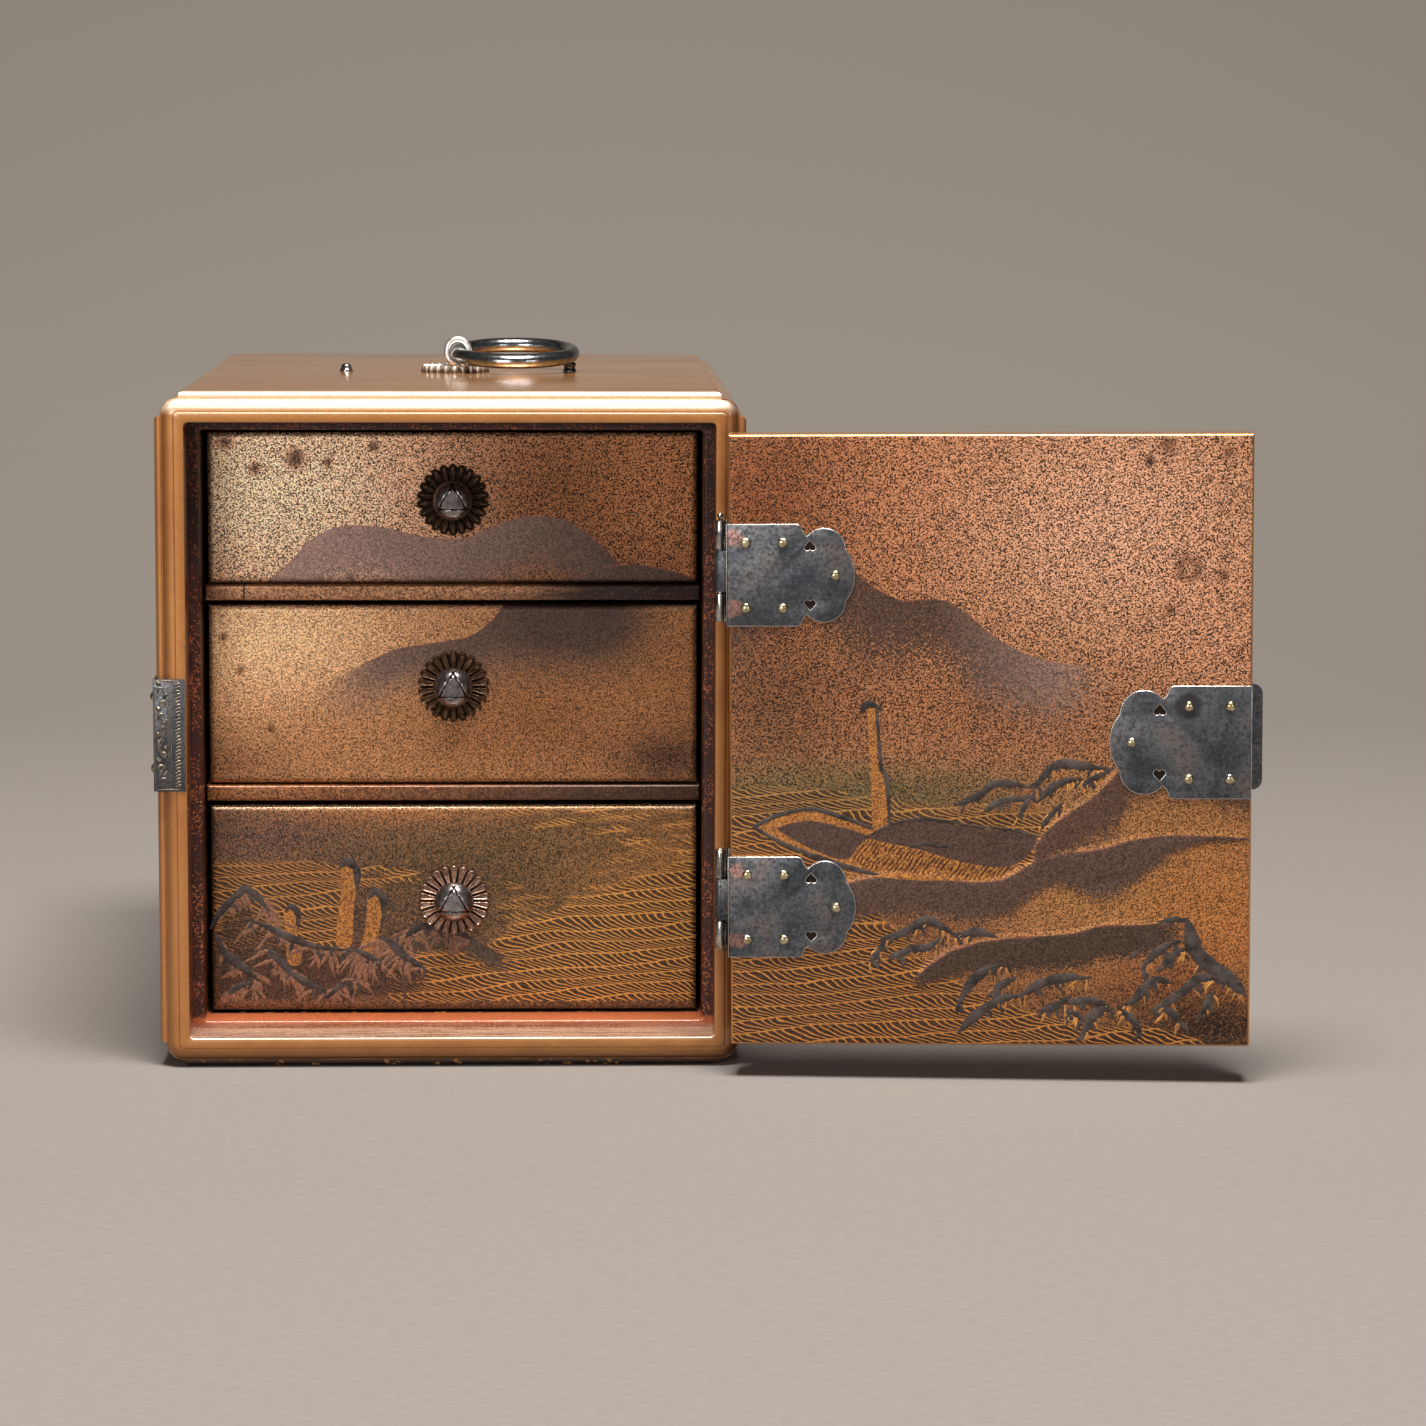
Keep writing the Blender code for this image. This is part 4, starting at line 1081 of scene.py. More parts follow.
def upper_drawer_picture(u, v):
    """Two hills under a sky that is pale on the left, partly as a painted sheen, and dark on the right."""
    air = spray(u, v, (150, 100, 66), [
        # the pale pink cloud on the left is partly the dust's own colour, partly a painted sheen
        (-30, 98, 30, 22, (232, 190, 158), 0.95),
        (18, 96, 20, 20, (104, 62, 34), 0.9),
        (40, 96, 12, 16, (170, 112, 70), 0.6),
        (27, 84, 16, 6, (90, 54, 32), 0.5),
    ])
    spots = [(-39, 106, 1.2, 0.92), (-34, 101.5, 1.1, 0.92), (-27, 103.2, 1.9, 0.92)]
    spots += [(-21.5, 102.6, 0.9, 0.92), (-13.6, 105.3, 1.0, 0.92), (-17.6, 83, 0.8, 0.92)]
    stain(air, u, v, (62, 30, 18), spots)
    ridge = below([
        (-46, 76), (-34, 81), (-29, 84.5), (-24.5, 89.2), (-19, 91.6), (-12, 91.4), (-5, 89.8),
        (2, 89.6), (8, 92), (13.5, 93.4), (19.5, 92.6), (24.5, 89.4), (29, 85), (35, 80), (46, 74),
    ], u, v)
    hill = below([(-46, 70), (14, 79), (20, 82.2), (25, 84.3), (30.5, 85), (36.5, 84.2), (43, 82.2)], u, v)
    cover = haze(ridge, 3.0, 15.0) * 0.95
    second = haze(hill, 1.0, 6.0)
    light = np.clip(0.55 - (u + 5) / 60, 0, 1)
    return {
        "air": air,
        "bank_1": triple(ridge, cover, light),
        "bank_2": triple(hill, second * 0.9, light),
        "shapes": triple(np.full(len(u), -9.0), -9.0),
    }


def middle_drawer_picture(u, v):
    """A hill that rises to the right and fades downwards."""
    air = spray(u, v, (158, 110, 72), [
        # the pale pink cloud on the left is partly the dust's own colour, partly a painted sheen
        (-32, 72, 24, 14, (240, 190, 144), 0.95),
        (-14, 54, 30, 10, (176, 122, 80), 0.6),
        (16, 58, 28, 11, (126, 80, 47), 0.8),
        (38, 66, 14, 12, (150, 100, 62), 0.7),
        (37, 51, 9, 4.5, (70, 46, 36), 0.9),
        (-39, 50, 12, 5, (110, 70, 46), 0.6),
    ])
    spots = [(-39.6, 72.3, 0.8, 0.9), (-36.8, 66.5, 0.8, 0.9), (-31.6, 56.4, 0.7, 0.9)]
    stain(air, u, v, (84, 46, 30), spots)
    ridge = below([
        (-46, 57), (-30, 61), (-22, 64.4), (-16.5, 67.2), (-10, 70.2), (-3, 71.4), (3, 72.6),
        (6.5, 75.2), (10, 79), (20, 86), (46, 92),
    ], u, v)
    upper = haze(-v, -75.0, -60.0) * haze(-u, -10, 6) * haze(u, 24, 42)
    cover = np.maximum(haze(ridge, 1.0, 11.0) * 0.9, upper) * haze(-u, 10, 27) * haze(u, 34, 50)
    return {
        "air": air,
        "bank_1": triple(ridge, cover, np.clip(0.42 - u / 36, 0, 1)),
        "shapes": triple(np.full(len(u), -9.0), -9.0),
    }


TALL_POST = [
    (-20.3, 32.4), (-17.4, 32.0), (-16.6, 30.5), (-17.4, 25), (-17.9, 18.4), (-20.6, 18.3), (-20.2, 24),
    (-19.6, 29.5),
]
SHORT_POST = [(-15.2, 27.4), (-12.6, 27.0), (-12.3, 25.2), (-14.2, 16.6), (-16.6, 16.6), (-15.4, 22)]
LEFT_POST = [(-29.8, 24.8), (-27.4, 24.2), (-27.6, 22), (-26.6, 15.4), (-29.0, 15.2), (-29.4, 20)]


def lower_drawer_picture(u, v):
    """Waves, with posts, leaves and a rock in front of them."""
    air = spray(u, v, (112, 84, 58), [
        (-36, 38, 22, 6, (100, 72, 62), 0.9),
        (-8, 42.6, 22, 3, (176, 116, 72), 0.75),
        (8, 30, 27, 8, (86, 68, 46), 0.88),
        (36, 30, 16, 14, (160, 110, 64), 0.8),
        (26, 36, 8, 6, (92, 74, 50), 0.5),
        (-20, 22, 20, 10, (78, 58, 48), 0.8),
        (-30, 12, 16, 6, (104, 62, 42), 0.6),
        (10, 10, 30, 4, (88, 64, 46), 0.7),
    ])
    crest = np.interp(u, [-16, -10, 5, 12, 20, 30, 42], [13, 16.5, 18, 22, 25.5, 29.5, 34])
    right = haze(v, crest - 1.5, crest + 1.5) * haze(-u, 9, 14)
    thin = 0.47 * haze(-u, -10, -2) * (1 - 0.9 * haze(np.hypot((u - 15) / 2.2, v - 33.5), 2.5, 6))
    left = 0.92 * haze(v, 31.5, 34.5) * haze(u, -22, -15) * haze(-v, -19, -16)
    band = 0.56 * haze(np.abs(v - (31 + 0.05 * u)), 1.4, 3.2) * haze(u, -8, 4)
    sea = np.maximum.reduce([left, band, right, thin]) * haze(-v, -9.2, -7.4)
    crag = below([
        (-46, 14), (-12, 16.5), (-9, 19.0), (-6.2, 20.8), (-1, 20.9), (3.6, 19.4), (8, 17.0), (14, 15),
        (46, 12),
    ], u, v)
    near = haze(crag, 1.6, 4.6) * haze(-u, 9, 11) * haze(u, 6, 11)
    fans = inside([
        (-41.6, 8), (-41.6, 21), (-36.5, 26.4), (-32, 22), (-29, 19), (-24, 17.6), (-17.6, 16.6),
        (-13, 15.6), (-11, 17.4), (-7, 15.4), (-4, 12.6), (-7, 9), (-14, 8.6), (-22, 8),
    ], u, v)
    posts = np.maximum.reduce([inside(post, u, v) for post in (TALL_POST, SHORT_POST, LEFT_POST)])
    return {
        "air": air,
        "sea": triple(sea, np.clip((u + 20) / 60, 0, 1), 0.0),
        "bank_1": triple(fans, haze(-fans, -1.6, 0.6) * 0.62, 0.0),
        "bank_2": triple(crag, near, 0.0),
        "shapes": triple(np.maximum(posts, -9.0), -9.0),
    }


def drawer_pieces(finishes, tray_finish):
    """Each drawer's front board with its picture, and the hollow tray behind it."""
    pictures = (upper_drawer_picture, middle_drawer_picture, lower_drawer_picture)
    for (level, (low, high)), picture in zip(DRAWERS.items(), pictures):
        middle = (low + high) / 2
        front = board(f"drawer_{level}_front", 2 * DRAWER_HALF, high - low, FRONT_THICKNESS, 0.9, 0.5)
        settle(front, Matrix.Translation((0, (FRONT + DRAWER_FACE) * MM, middle * MM)))
        spots = spots_of(front) / MM
        fields = picture(spots[:, 0], spots[:, 2])
        # painted highlight: a pale cream line along each drawer's top edge, strongest on the lower drawer
        painted_edge_highlight = haze(high - spots[:, 2], 0.3, 0.75) * (0.85 if level == "lower" else 0.35)
        tint(fields["air"], painted_edge_highlight, (255, 212, 172))
        lay_out(front, spots[:, 0], spots[:, 2], fields)
        wear(front, finishes[level])
        wear(front, tray_finish, lambda face: face.center.y > (FRONT + DRAWER_FACE + 1.2) * MM)
        smooth(front, 40)
        near = (-DRAWER_HALF, FRONT + DRAWER_FACE + FRONT_THICKNESS, low)
        tray = block(f"drawer_{level}_tray", near, (DRAWER_HALF, TRAY_BACK, high))
        pick(tray, "faces", lambda face: face.normal.z > 0.9)
        bpy.ops.mesh.inset(thickness=TRAY_WALL * MM)
        sink = (0, 0, -(high - low - TRAY_FLOOR) * MM)
        bpy.ops.mesh.extrude_region_move(TRANSFORM_OT_translate={"value": sink})
        done()
        ease_edges(tray, 0.25)
        wear(tray, tray_finish)
        smooth(tray, 40)
        for piece in (front, tray):
            enter(piece, f"drawer_{level}", "flaked_lacquer", f"drawer_{level}")


# Pulls

TOWARDS_FRONT = Matrix.Rotation(math.radians(90), 4, "X")


def rosette_piece(name, place, finish, height=0.8):
    """A sheet wrapped into a ring of 22 hollow petals with raised rims and a turned-down edge."""
    petals, start, tip, half = 22, 2.6, 5.55, 0.69
    bpy.ops.mesh.primitive_grid_add(x_subdivisions=30, y_subdivisions=petals * 24, size=1)
    piece = fresh(name)
    share, turn, _ = (spots_of(piece) + 0.5).T
    beside = np.mod(turn * petals, 1) - 0.5
    at_tip = tip * beside * math.tau / petals
    edge = tip + np.sqrt(np.maximum(half**2 - at_tip**2, 0.0))
    radius = start + share * (edge - start)
    across = radius * np.sin(beside * math.tau / petals)
    width = np.interp(radius, [2.6, 3.7, 4.8, tip], [0.22, 0.42, 0.58, 0.67])
    within = np.where(radius < tip, width - np.abs(across), half - np.hypot(radius - tip, across))
    level = 0.12 + 0.36 * (1 - haze(within, 0.0, 0.16)) - 0.14 * (1 - haze(within, 0.26, 0.52))
    level += 0.2 * np.exp(-(((within - 0.2) / 0.12) ** 2))
    level = np.where((share > 0.999) | (share < 0.001), 0.0, level)
    angle = turn * math.tau
    spots = np.stack([radius * np.cos(angle), radius * np.sin(angle), level * height / 0.68], 1) * MM
    reshape(piece, spots)
    note_relief(piece, level / 0.62)
    weld(piece)
    pick(piece, "edges", lambda edge: all(abs(co.z) < 1e-6 for co in ends(piece, edge)))
    bpy.ops.mesh.bridge_edge_loops()
    done()
    weld(piece)
    settle(piece, place)
    wear(piece, finish)
    return smooth(piece, 50)


def note_relief(piece, values):
    """Stores how high each point stands, which the metal reads to keep its tarnish in the hollows."""
    layer = piece.data.attributes.new("relief", "FLOAT", "POINT")
    layer.data.foreach_set("value", np.ascontiguousarray(values, np.float32))


def knob_piece(name, place, finish):
    """A dome on a short stem, with three cut grooves that leave a flat triangle in the middle."""
    brim, top, turns = 1.512, 4.2, np.radians([30, 150, 270])
    bpy.ops.mesh.primitive_uv_sphere_add(segments=144, ring_count=112, radius=3.5 * MM)
    knob = fresh(name)
    x, y, z = (spots_of(knob) / MM).T
    share = np.clip(-z / 3.5, 0, 1)
    neck = np.interp(share, [0.45, 0.62, 1.0], [0.84, 0.75, 0.0])
    stem = np.where(share < 0.45, brim - share * 1.5, neck)
    level = np.where(z > 0, brim + z * (top - brim) / 3.5, stem)
    shrink = np.interp(share, [0, 0.2, 0.45, 0.6, 0.9, 1.0], [1, 1.0, 0.94, 0.62, 0.9, 1.0])
    thin = np.where(z > 0, 1, shrink)
    x, y = x * thin, y * thin
    grooves = np.zeros(len(x))
    for way in turns:
        off = x * math.cos(way) + y * math.sin(way) - 1.42
        along = -x * math.sin(way) + y * math.cos(way)
        cut = np.exp(-((off / 0.15) ** 2)) * haze(np.abs(along), 2.5, 3.1) * (z > 0)
        level = level - 0.13 * cut
        grooves = np.maximum(grooves, cut)
    face = np.maximum.reduce([x * math.cos(way) + y * math.sin(way) for way in turns])
    flat = haze(face, 1.26, 1.36) * (z > 0)
    level = level * (1 - flat) + np.minimum(level, 3.82) * flat
    reshape(knob, np.stack([x, y, level], 1) * MM)
    note_relief(knob, 1 - grooves)
    settle(knob, place)
    weld(knob)
    wear(knob, finish)
    return smooth(knob, 40)


def pulls(rosette_finishes, knob_finish):
    """A flower washer and a knob on each drawer."""
    for level, height in PULL_HEIGHTS.items():
        face = FRONT + DRAWER_FACE
        seat = Matrix.Translation((0, (face - 0.05) * MM, height * MM)) @ TOWARDS_FRONT
        washer = rosette_piece(f"pull_rosette_{level}_petals", seat, rosette_finishes[level])
        enter(washer, f"drawer_{level}", "bronze_rosette", f"pull_rosette_{level}")
        head = Matrix.Translation((0, (face - 0.5) * MM, height * MM)) @ TOWARDS_FRONT
        dome = knob_piece(f"pull_knob_{level}_dome", head, knob_finish)
        enter(dome, f"drawer_{level}", "dark_silver", f"pull_knob_{level}")


# The door

BOAT_RIM = [
    (-39.6, 43.0), (-36.6, 44.5), (-33.0, 45.5), (-29.6, 45.8), (-25.8, 44.8), (-20.0, 42.7),
    (-12.5, 39.6), (-5.0, 36.4), (-1.5, 34.3), (-8.0, 33.9), (-16, 34.2), (-24, 35.8), (-30.5, 38.2),
    (-36.5, 40.8),
]
BOAT_WELL = [
    (-36.2, 42.7), (-33.4, 43.7), (-30.2, 44.1), (-26.4, 43.4), (-20.6, 41.6), (-22.2, 39.6),
    (-24.4, 37.4), (-30.0, 39.2),
]
LOAD = [
    (-20.8, 41.2), (-17.8, 42.8), (-14.0, 44.0), (-9.0, 44.1), (-3.0, 43.0), (3.0, 42.4), (7.8, 41.4),
    (7.2, 39.2), (4.5, 36.8), (0.5, 36.2), (-6.0, 37.4), (-12.0, 39.2), (-17.0, 40.2),
]
THATCH = [
    (-24.4, 37.3), (-22.2, 39.6), (-20.6, 41.2), (-14, 39.6), (-6, 38.4), (2, 36.8), (5.2, 36.6),
    (2.2, 34.6), (-3.4, 33.9), (-9, 34.6), (-16, 35.0), (-20, 35.6),
]
MAST = [
    (-20.6, 63.2), (-19.2, 63.2), (-18.9, 55), (-18.7, 53.2), (-17.7, 51.0), (-17.3, 42.6),
    (-19.6, 42.2), (-20.0, 50.6), (-20.1, 53),
]


def door_picture(u, v):
    """A hill above the sea, a laden boat, a shore in two banks and rocks in front."""
    air = spray(u, v, (164, 112, 76), [
        (-38, 96, 24, 28, (114, 64, 36), 0.95),
        (-12, 100, 14, 22, (170, 110, 76), 0.6),
        # these two pale pink clouds on the upper right are partly the dust's own colour, partly a painted
        # sheen
        (22, 94, 26, 20, (206, 156, 126), 0.85),
        (38, 78, 14, 16, (196, 140, 108), 0.7),
        (-36, 64, 16, 14, (90, 58, 38), 0.85),
        (2, 62, 30, 9, (140, 90, 60), 0.75),
        (-18, 49, 34, 4.5, (92, 84, 56), 0.88),
        (-32, 48, 14, 5, (104, 92, 60), 0.5),
        (34, 44, 20, 8, (154, 106, 62), 0.85),
        (26, 32, 30, 8, (166, 114, 64), 0.95),
        (40, 26, 12, 12, (176, 112, 60), 0.9),
        (12, 18, 22, 2.5, (176, 116, 66), 0.8),
        (-8, 26, 8, 4, (158, 102, 60), 0.6),
        (30, 17, 12, 5, (136, 82, 48), 0.8),
        (-16, 26, 16, 7, (120, 80, 54), 0.7),
        (-30, 14, 24, 12, (92, 66, 50), 0.85),
        (8, 12, 24, 6, (116, 76, 48), 0.8),
        (38, 9, 17, 7, (46, 30, 24), 0.97),
        (8, 6.5, 40, 1.6, (70, 54, 40), 0.7),
    ])
    spots = [(26.5, 104.6, 1.0, 0.84), (29.5, 107.2, 1.4, 0.7), (39.5, 105.8, 1.0, 0.7)]
    spots += [(30.0, 79.6, 0.8, 0.95), (38.8, 85.5, 0.9, 0.84), (36.4, 101.6, 0.7, 0.7)]
    stain(air, u, v, (76, 40, 24), spots)
    # painted shade: dark spots on the board under the plates' heart holes
    hole_shade = np.zeros(len(u))
    hearts = [(-30.1, middle, 5.1) for middle in HINGE_MIDDLES.values()]
    hearts.append((28.3, DOOR_MIDDLE, 5.6))
    for hu, middle, rise in hearts:
        for hv in (middle - rise, middle + rise):
            hole_shade = np.maximum(hole_shade, haze(np.hypot(u - hu, v - hv), 1.2, 1.8))
    tint(air, 0.75 * np.exp(-(((np.hypot(u - 33, v - 86.6) - 1.6) / 0.7) ** 2)), (84, 46, 28))
    ridge = below([
        (-46, 83), (-38, 88.6), (-31, 91), (-26, 89.2), (-21.6, 85.4), (-18, 82.8), (-14.6, 81.4),
        (-11, 81.6), (-7.4, 81.2), (-3.6, 79), (0.6, 75.4), (6, 72.4), (12, 70.8), (19, 70), (30, 66),
        (46, 58),
    ], u, v)
    hill = haze(ridge, 2.0, 17.0 - 0.05 * u) * haze(u, 8, 24)
    bank_a = below([
        (-46, 20), (2, 33), (7.2, 39.4), (9.6, 42.6), (13, 45.4), (17.4, 48.4), (20.4, 51.4),
        (23.6, 54.6), (30, 56.5), (38, 55), (46, 52),
    ], u, v)
    bank_b = below([
        (-46, 22), (-32, 29), (-25, 33), (-20.6, 34.3), (-15, 34.8), (-8.6, 34.6), (-3, 33.8), (2, 34.2),
        (5.4, 36), (9, 37.8), (14, 38.8), (19, 39.6), (24, 41), (30, 41.8), (37, 41.7), (46, 41.2),
    ], u, v)
    stations = [-44, -32, -22, -2, 8, 12, 18, 24, 30, 36, 44]
    reach = np.interp(u, stations, [2, 4, 9, 9.5, 7, 7.5, 12, 11, 5, 1.6, 0.8])
    cover_b = haze(bank_b, reach * 0.45, reach)
    cover_a = haze(bank_a, 2.5, 9 + 0.08 * (u - 10)) * haze(bank_b, 0.2, 0.6)
    bank_c = below([
        (-46, -10), (-22, 10), (-14, 16.4), (-9.4, 20.2), (-5, 22.6), (2, 24.1), (8.6, 24.6),
        (14.4, 25.2), (18.6, 26.4), (25, 26.6), (31, 27.0), (36, 26.4), (40, 20), (43, 12), (46, 2),
    ], u, v)
    depth_c = np.interp(u, [-14, -8, 0, 10, 20, 28, 36], [1.5, 5, 8, 8.5, 8, 7, 5])
    cover_c = haze(bank_c, 0.45 * depth_c, depth_c) * haze(-u, 11, 14) * haze(u, 27, 37)
    stations = [-44, -24, -18, -12, -6, 0, 8, 18, 26, 33, 44]
    floor_edge = np.interp(u, stations, [60, 60, 27.5, 23.5, 17.5, 14.5, 11.5, 9.5, 9.6, 8.2, 2])
    near_sea = haze(v, floor_edge - 1.4, floor_edge + 0.8)
    far_edge = np.interp(u, [-44, -30, -18, -6, 4, 10, 16], [51.4, 50.6, 49.6, 48.2, 49.4, 47.6, 40])
    far_sea = haze(v, far_edge - 4.5, far_edge + 0.8) * haze(-v, -36.5, -33.5) * haze(u, 9.5, 14)
    left_sea = haze(v, 48, 51.5) * haze(u, -26, -21)
    sea = np.clip(np.maximum.reduce([near_sea * haze(v, 27, 31), far_sea, left_sea]), 0, 1)
    well, load, thatch = (inside(outline, u, v) for outline in (BOAT_WELL, LOAD, THATCH))
    rim, mast = inside(BOAT_RIM, u, v), inside(MAST, u, v)
    gold = np.maximum.reduce([rim, thatch, mast])
    return {
        "air": air,
        "sea": triple(sea, np.clip((v - 36) / 12, 0, 1), hole_shade),
        "bank_1": triple(ridge, hill * 0.93, np.clip((u + 10) / 30, 0, 1)),
        "bank_2": triple(bank_a, cover_a, 0.2),
        "bank_3": triple(bank_b, cover_b, 0.15),
        "bank_4": triple(bank_c, cover_c, 0.0),
        "shapes": triple(gold, np.maximum(well, load), np.clip(thatch * 3, 0, 1)),
    }


BOAT_LINES = [
    (
        [(-39.8, 42.9), (-36.4, 44.7), (-32.4, 45.8), (-29.4, 46.0), (-25.4, 44.9), (-19.6, 42.8)],
        0.30, "even",
    ),
    (
        [(-39.8, 43.0), (-36.0, 40.8), (-30.4, 38.4), (-24.4, 36.4), (-18.4, 34.8), (-12.8, 33.9)],
        0.30, "even",
    ),
    (
        [(-20.6, 41.4), (-17.2, 43.2), (-13.2, 44.3), (-8.4, 44.2), (-2.4, 43.2), (3.4, 42.6), (8.2, 41.4)],
        0.18, "even",
    ),
    ([(-13.5, 39.4), (-11.2, 40.3), (-8.4, 39.8), (-5.8, 39.9)], 0.24),
    ([(-19.0, 62.8), (-18.4, 55.4), (-18.2, 53.0), (-17.2, 50.8), (-16.8, 42.8)], 0.26, "even"),
    ([(-21.9, 62.2), (-20.4, 63.9), (-17.9, 62.9)], 0.50),
]
FAR_ROCKS = [
    ([(-6.0, 46.8), (-2.2, 48.2), (0.4, 50.2), (3.6, 50.4), (7.6, 49.6)], 0.58),
    ([(7.2, 49.4), (8.6, 51.2), (10.4, 53.2), (12.6, 53.8), (16.4, 53.3), (20.6, 52.9)], 0.66),
    ([(7.8, 47.0), (10.2, 49.6), (13.2, 51.0), (15.8, 51.2)], 0.52),
    ([(-1.2, 45.6), (1.4, 47.2), (4.2, 47.8), (6.8, 47.8)], 0.50),
    ([(15.2, 50.0), (17.4, 51.4), (20.4, 52.8)], 0.42),
    ([(4.6, 44.6), (6.4, 47.4), (7.6, 49.2)], 0.36),
    ([(8.4, 42.6), (10.4, 45.4), (12.4, 47.2)], 0.40),
]
NEAR_ROCKS = [
    ([(-18.4, 24.0), (-15.6, 24.6), (-12.8, 26.0), (-10.6, 27.2), (-7.8, 26.0), (-5.2, 24.2)], 0.66),
    ([(-5.6, 24.2), (-3.4, 25.0), (-1.6, 25.2), (1.4, 24.2)], 0.60),
    ([(-20.4, 19.8), (-18.2, 22.6), (-17.4, 24.2)], 0.44),
    ([(-17.0, 20.4), (-13.4, 22.2), (-10.4, 22.6), (-7.6, 24.6)], 0.56),
    ([(-5.4, 12.4), (-3.4, 16.2), (0.4, 19.4), (4.4, 19.4)], 0.64),
    ([(-5.4, 7.8), (-2.0, 11.2), (2.2, 13.8), (5.8, 14.4)], 0.68),
    ([(5.4, 14.4), (8.6, 16.4), (12.4, 17.4), (17.2, 17.4)], 0.72),
    ([(0.6, 13.4), (1.6, 15.8), (4.6, 17.6)], 0.60),
    ([(8.2, 11.6), (11.2, 12.6), (13.8, 14.4)], 0.60),
    ([(13.0, 13.0), (16.6, 13.6), (20.4, 12.6)], 0.56),
    ([(12.2, 11.8), (14.6, 11.2), (16.2, 9.8)], 0.46),
]
RIGHT_ROCKS = [
    ([(24.8, 21.8), (27.0, 25.2), (30.6, 27.2), (33.4, 27.2)], 0.82),
    ([(33.0, 27.8), (33.8, 24.6), (34.8, 21.8), (38.0, 18.8), (41.0, 17.2), (43.0, 15.0)], 1.15),
    ([(25.4, 18.8), (27.4, 21.2), (29.6, 23.0), (32.6, 23.8)], 0.62),
    ([(28.6, 18.6), (30.0, 20.6), (31.8, 22.0), (33.4, 22.4)], 0.60),
    ([(38.6, 17.2), (35.2, 17.4), (32.6, 15.2), (29.4, 13.0), (26.6, 11.6)], 0.70),
    ([(30.6, 16.6), (27.8, 17.2), (26.0, 15.6), (24.0, 13.4), (21.4, 12.2)], 0.62),
    ([(20.8, 12.2), (18.4, 11.8), (16.6, 9.6), (15.6, 6.8)], 0.72),
    ([(22.2, 12.0), (24.0, 10.2), (25.8, 7.6)], 0.60),
    ([(28.6, 12.2), (30.8, 11.4), (32.0, 9.6)], 0.58),
    ([(37.6, 15.2), (36.4, 12.8), (35.4, 10.6)], 0.56),
    ([(36.4, 18.0), (39.6, 17.4), (43.0, 14.4)], 0.90),
]


def to_door(height):
    """From (u, v, rise) on the door's inner face, closed, to the open door."""
    depth = (FRONT + DOOR_THICKNESS + height) * MM
    return OPEN @ Matrix(((-1, 0, 0, 0), (0, 0, 1, depth), (0, 1, 0, 0), (0, 0, 0, 1)))


def relief_of(fields):
    """How far the banks stand off the ground, in mm: most at their edge, sinking away below it."""
    rise = 0
    for name, height in (("bank_2", 0.14), ("bank_3", 0.18), ("bank_4", 0.18)):
        if name in fields:
            depth = fields[name][:, 0]
            cover = np.clip(fields[name][:, 1], 0, 1)
            rise = np.maximum(rise, height * haze(-depth, 0.0, 0.45) * haze(depth, 1.0, 8.0) * cover)
    return rise


def door_pieces(picture, plain, ink, straw):
    """The door's board with its picture inside, and the raised lines of the picture."""
    panel = board("door_board", 2 * DOOR_HALF, DOOR_HIGH - DOOR_LOW, DOOR_THICKNESS, 0.5, 0.5, 0.5)
    turned = Matrix.Rotation(math.radians(180), 4, "Z")
    settle(panel, Matrix.Translation((0, (FRONT + DOOR_THICKNESS) * MM, DOOR_MIDDLE * MM)) @ turned)
    spots = spots_of(panel) / MM
    u, v = -spots[:, 0], spots[:, 2]
    fields = door_picture(u, v)
    rise = relief_of(fields) * (spots[:, 1] > FRONT + DOOR_THICKNESS - 0.001)
    rise = rise * haze(np.abs(u), 42.2, 43.1) * haze(np.abs(v - DOOR_MIDDLE), 50.2, 51.1)
    spots[:, 1] += rise
    reshape(panel, spots * MM)
    lay_out(panel, u, v, fields)
    wear(panel, picture)
    near = (FRONT + DOOR_THICKNESS - 0.02) * MM
    wear(panel, plain, lambda face: face.center.y < near)
    settle(panel, OPEN)
    smooth(panel, 40)
    twigs = strands(FAR_ROCKS, 21, 7, (1.0, 2.2), (200, 330), (0.16, 0.28), 43.0)
    twigs += strands(NEAR_ROCKS, 22, 7, (1.2, 2.8), (195, 330), (0.18, 0.34))
    twigs += strands(RIGHT_ROCKS, 23, 6, (1.2, 3.0), (215, 330), (0.2, 0.38))
    strokes = BOAT_LINES + FAR_ROCKS + NEAR_ROCKS + RIGHT_ROCKS + between(twigs, -DOOR_HALF, 42.6)
    lines = brush("door_raised_lines", strokes, 0.12, to_door(0.05), ink)
    straws = strands(FAR_ROCKS, 11, 18, (1.2, 2.6), (215, 325), (0.10, 0.17), 42.0)
    straws += strands(NEAR_ROCKS, 12, 9, (1.2, 3.0), (205, 300), (0.11, 0.22))
    straws += strands(RIGHT_ROCKS, 13, 9, (1.2, 3.2), (215, 320), (0.13, 0.26))
    grass = brush("door_fine_lines", between(straws, -DOOR_HALF, 42.8), 0.3, to_door(0.02), straw)
    enter(panel, "door", "flaked_lacquer", "door_panel")
    enter(lines, "door", "flaked_lacquer")
    enter(grass, "door", "flaked_lacquer")


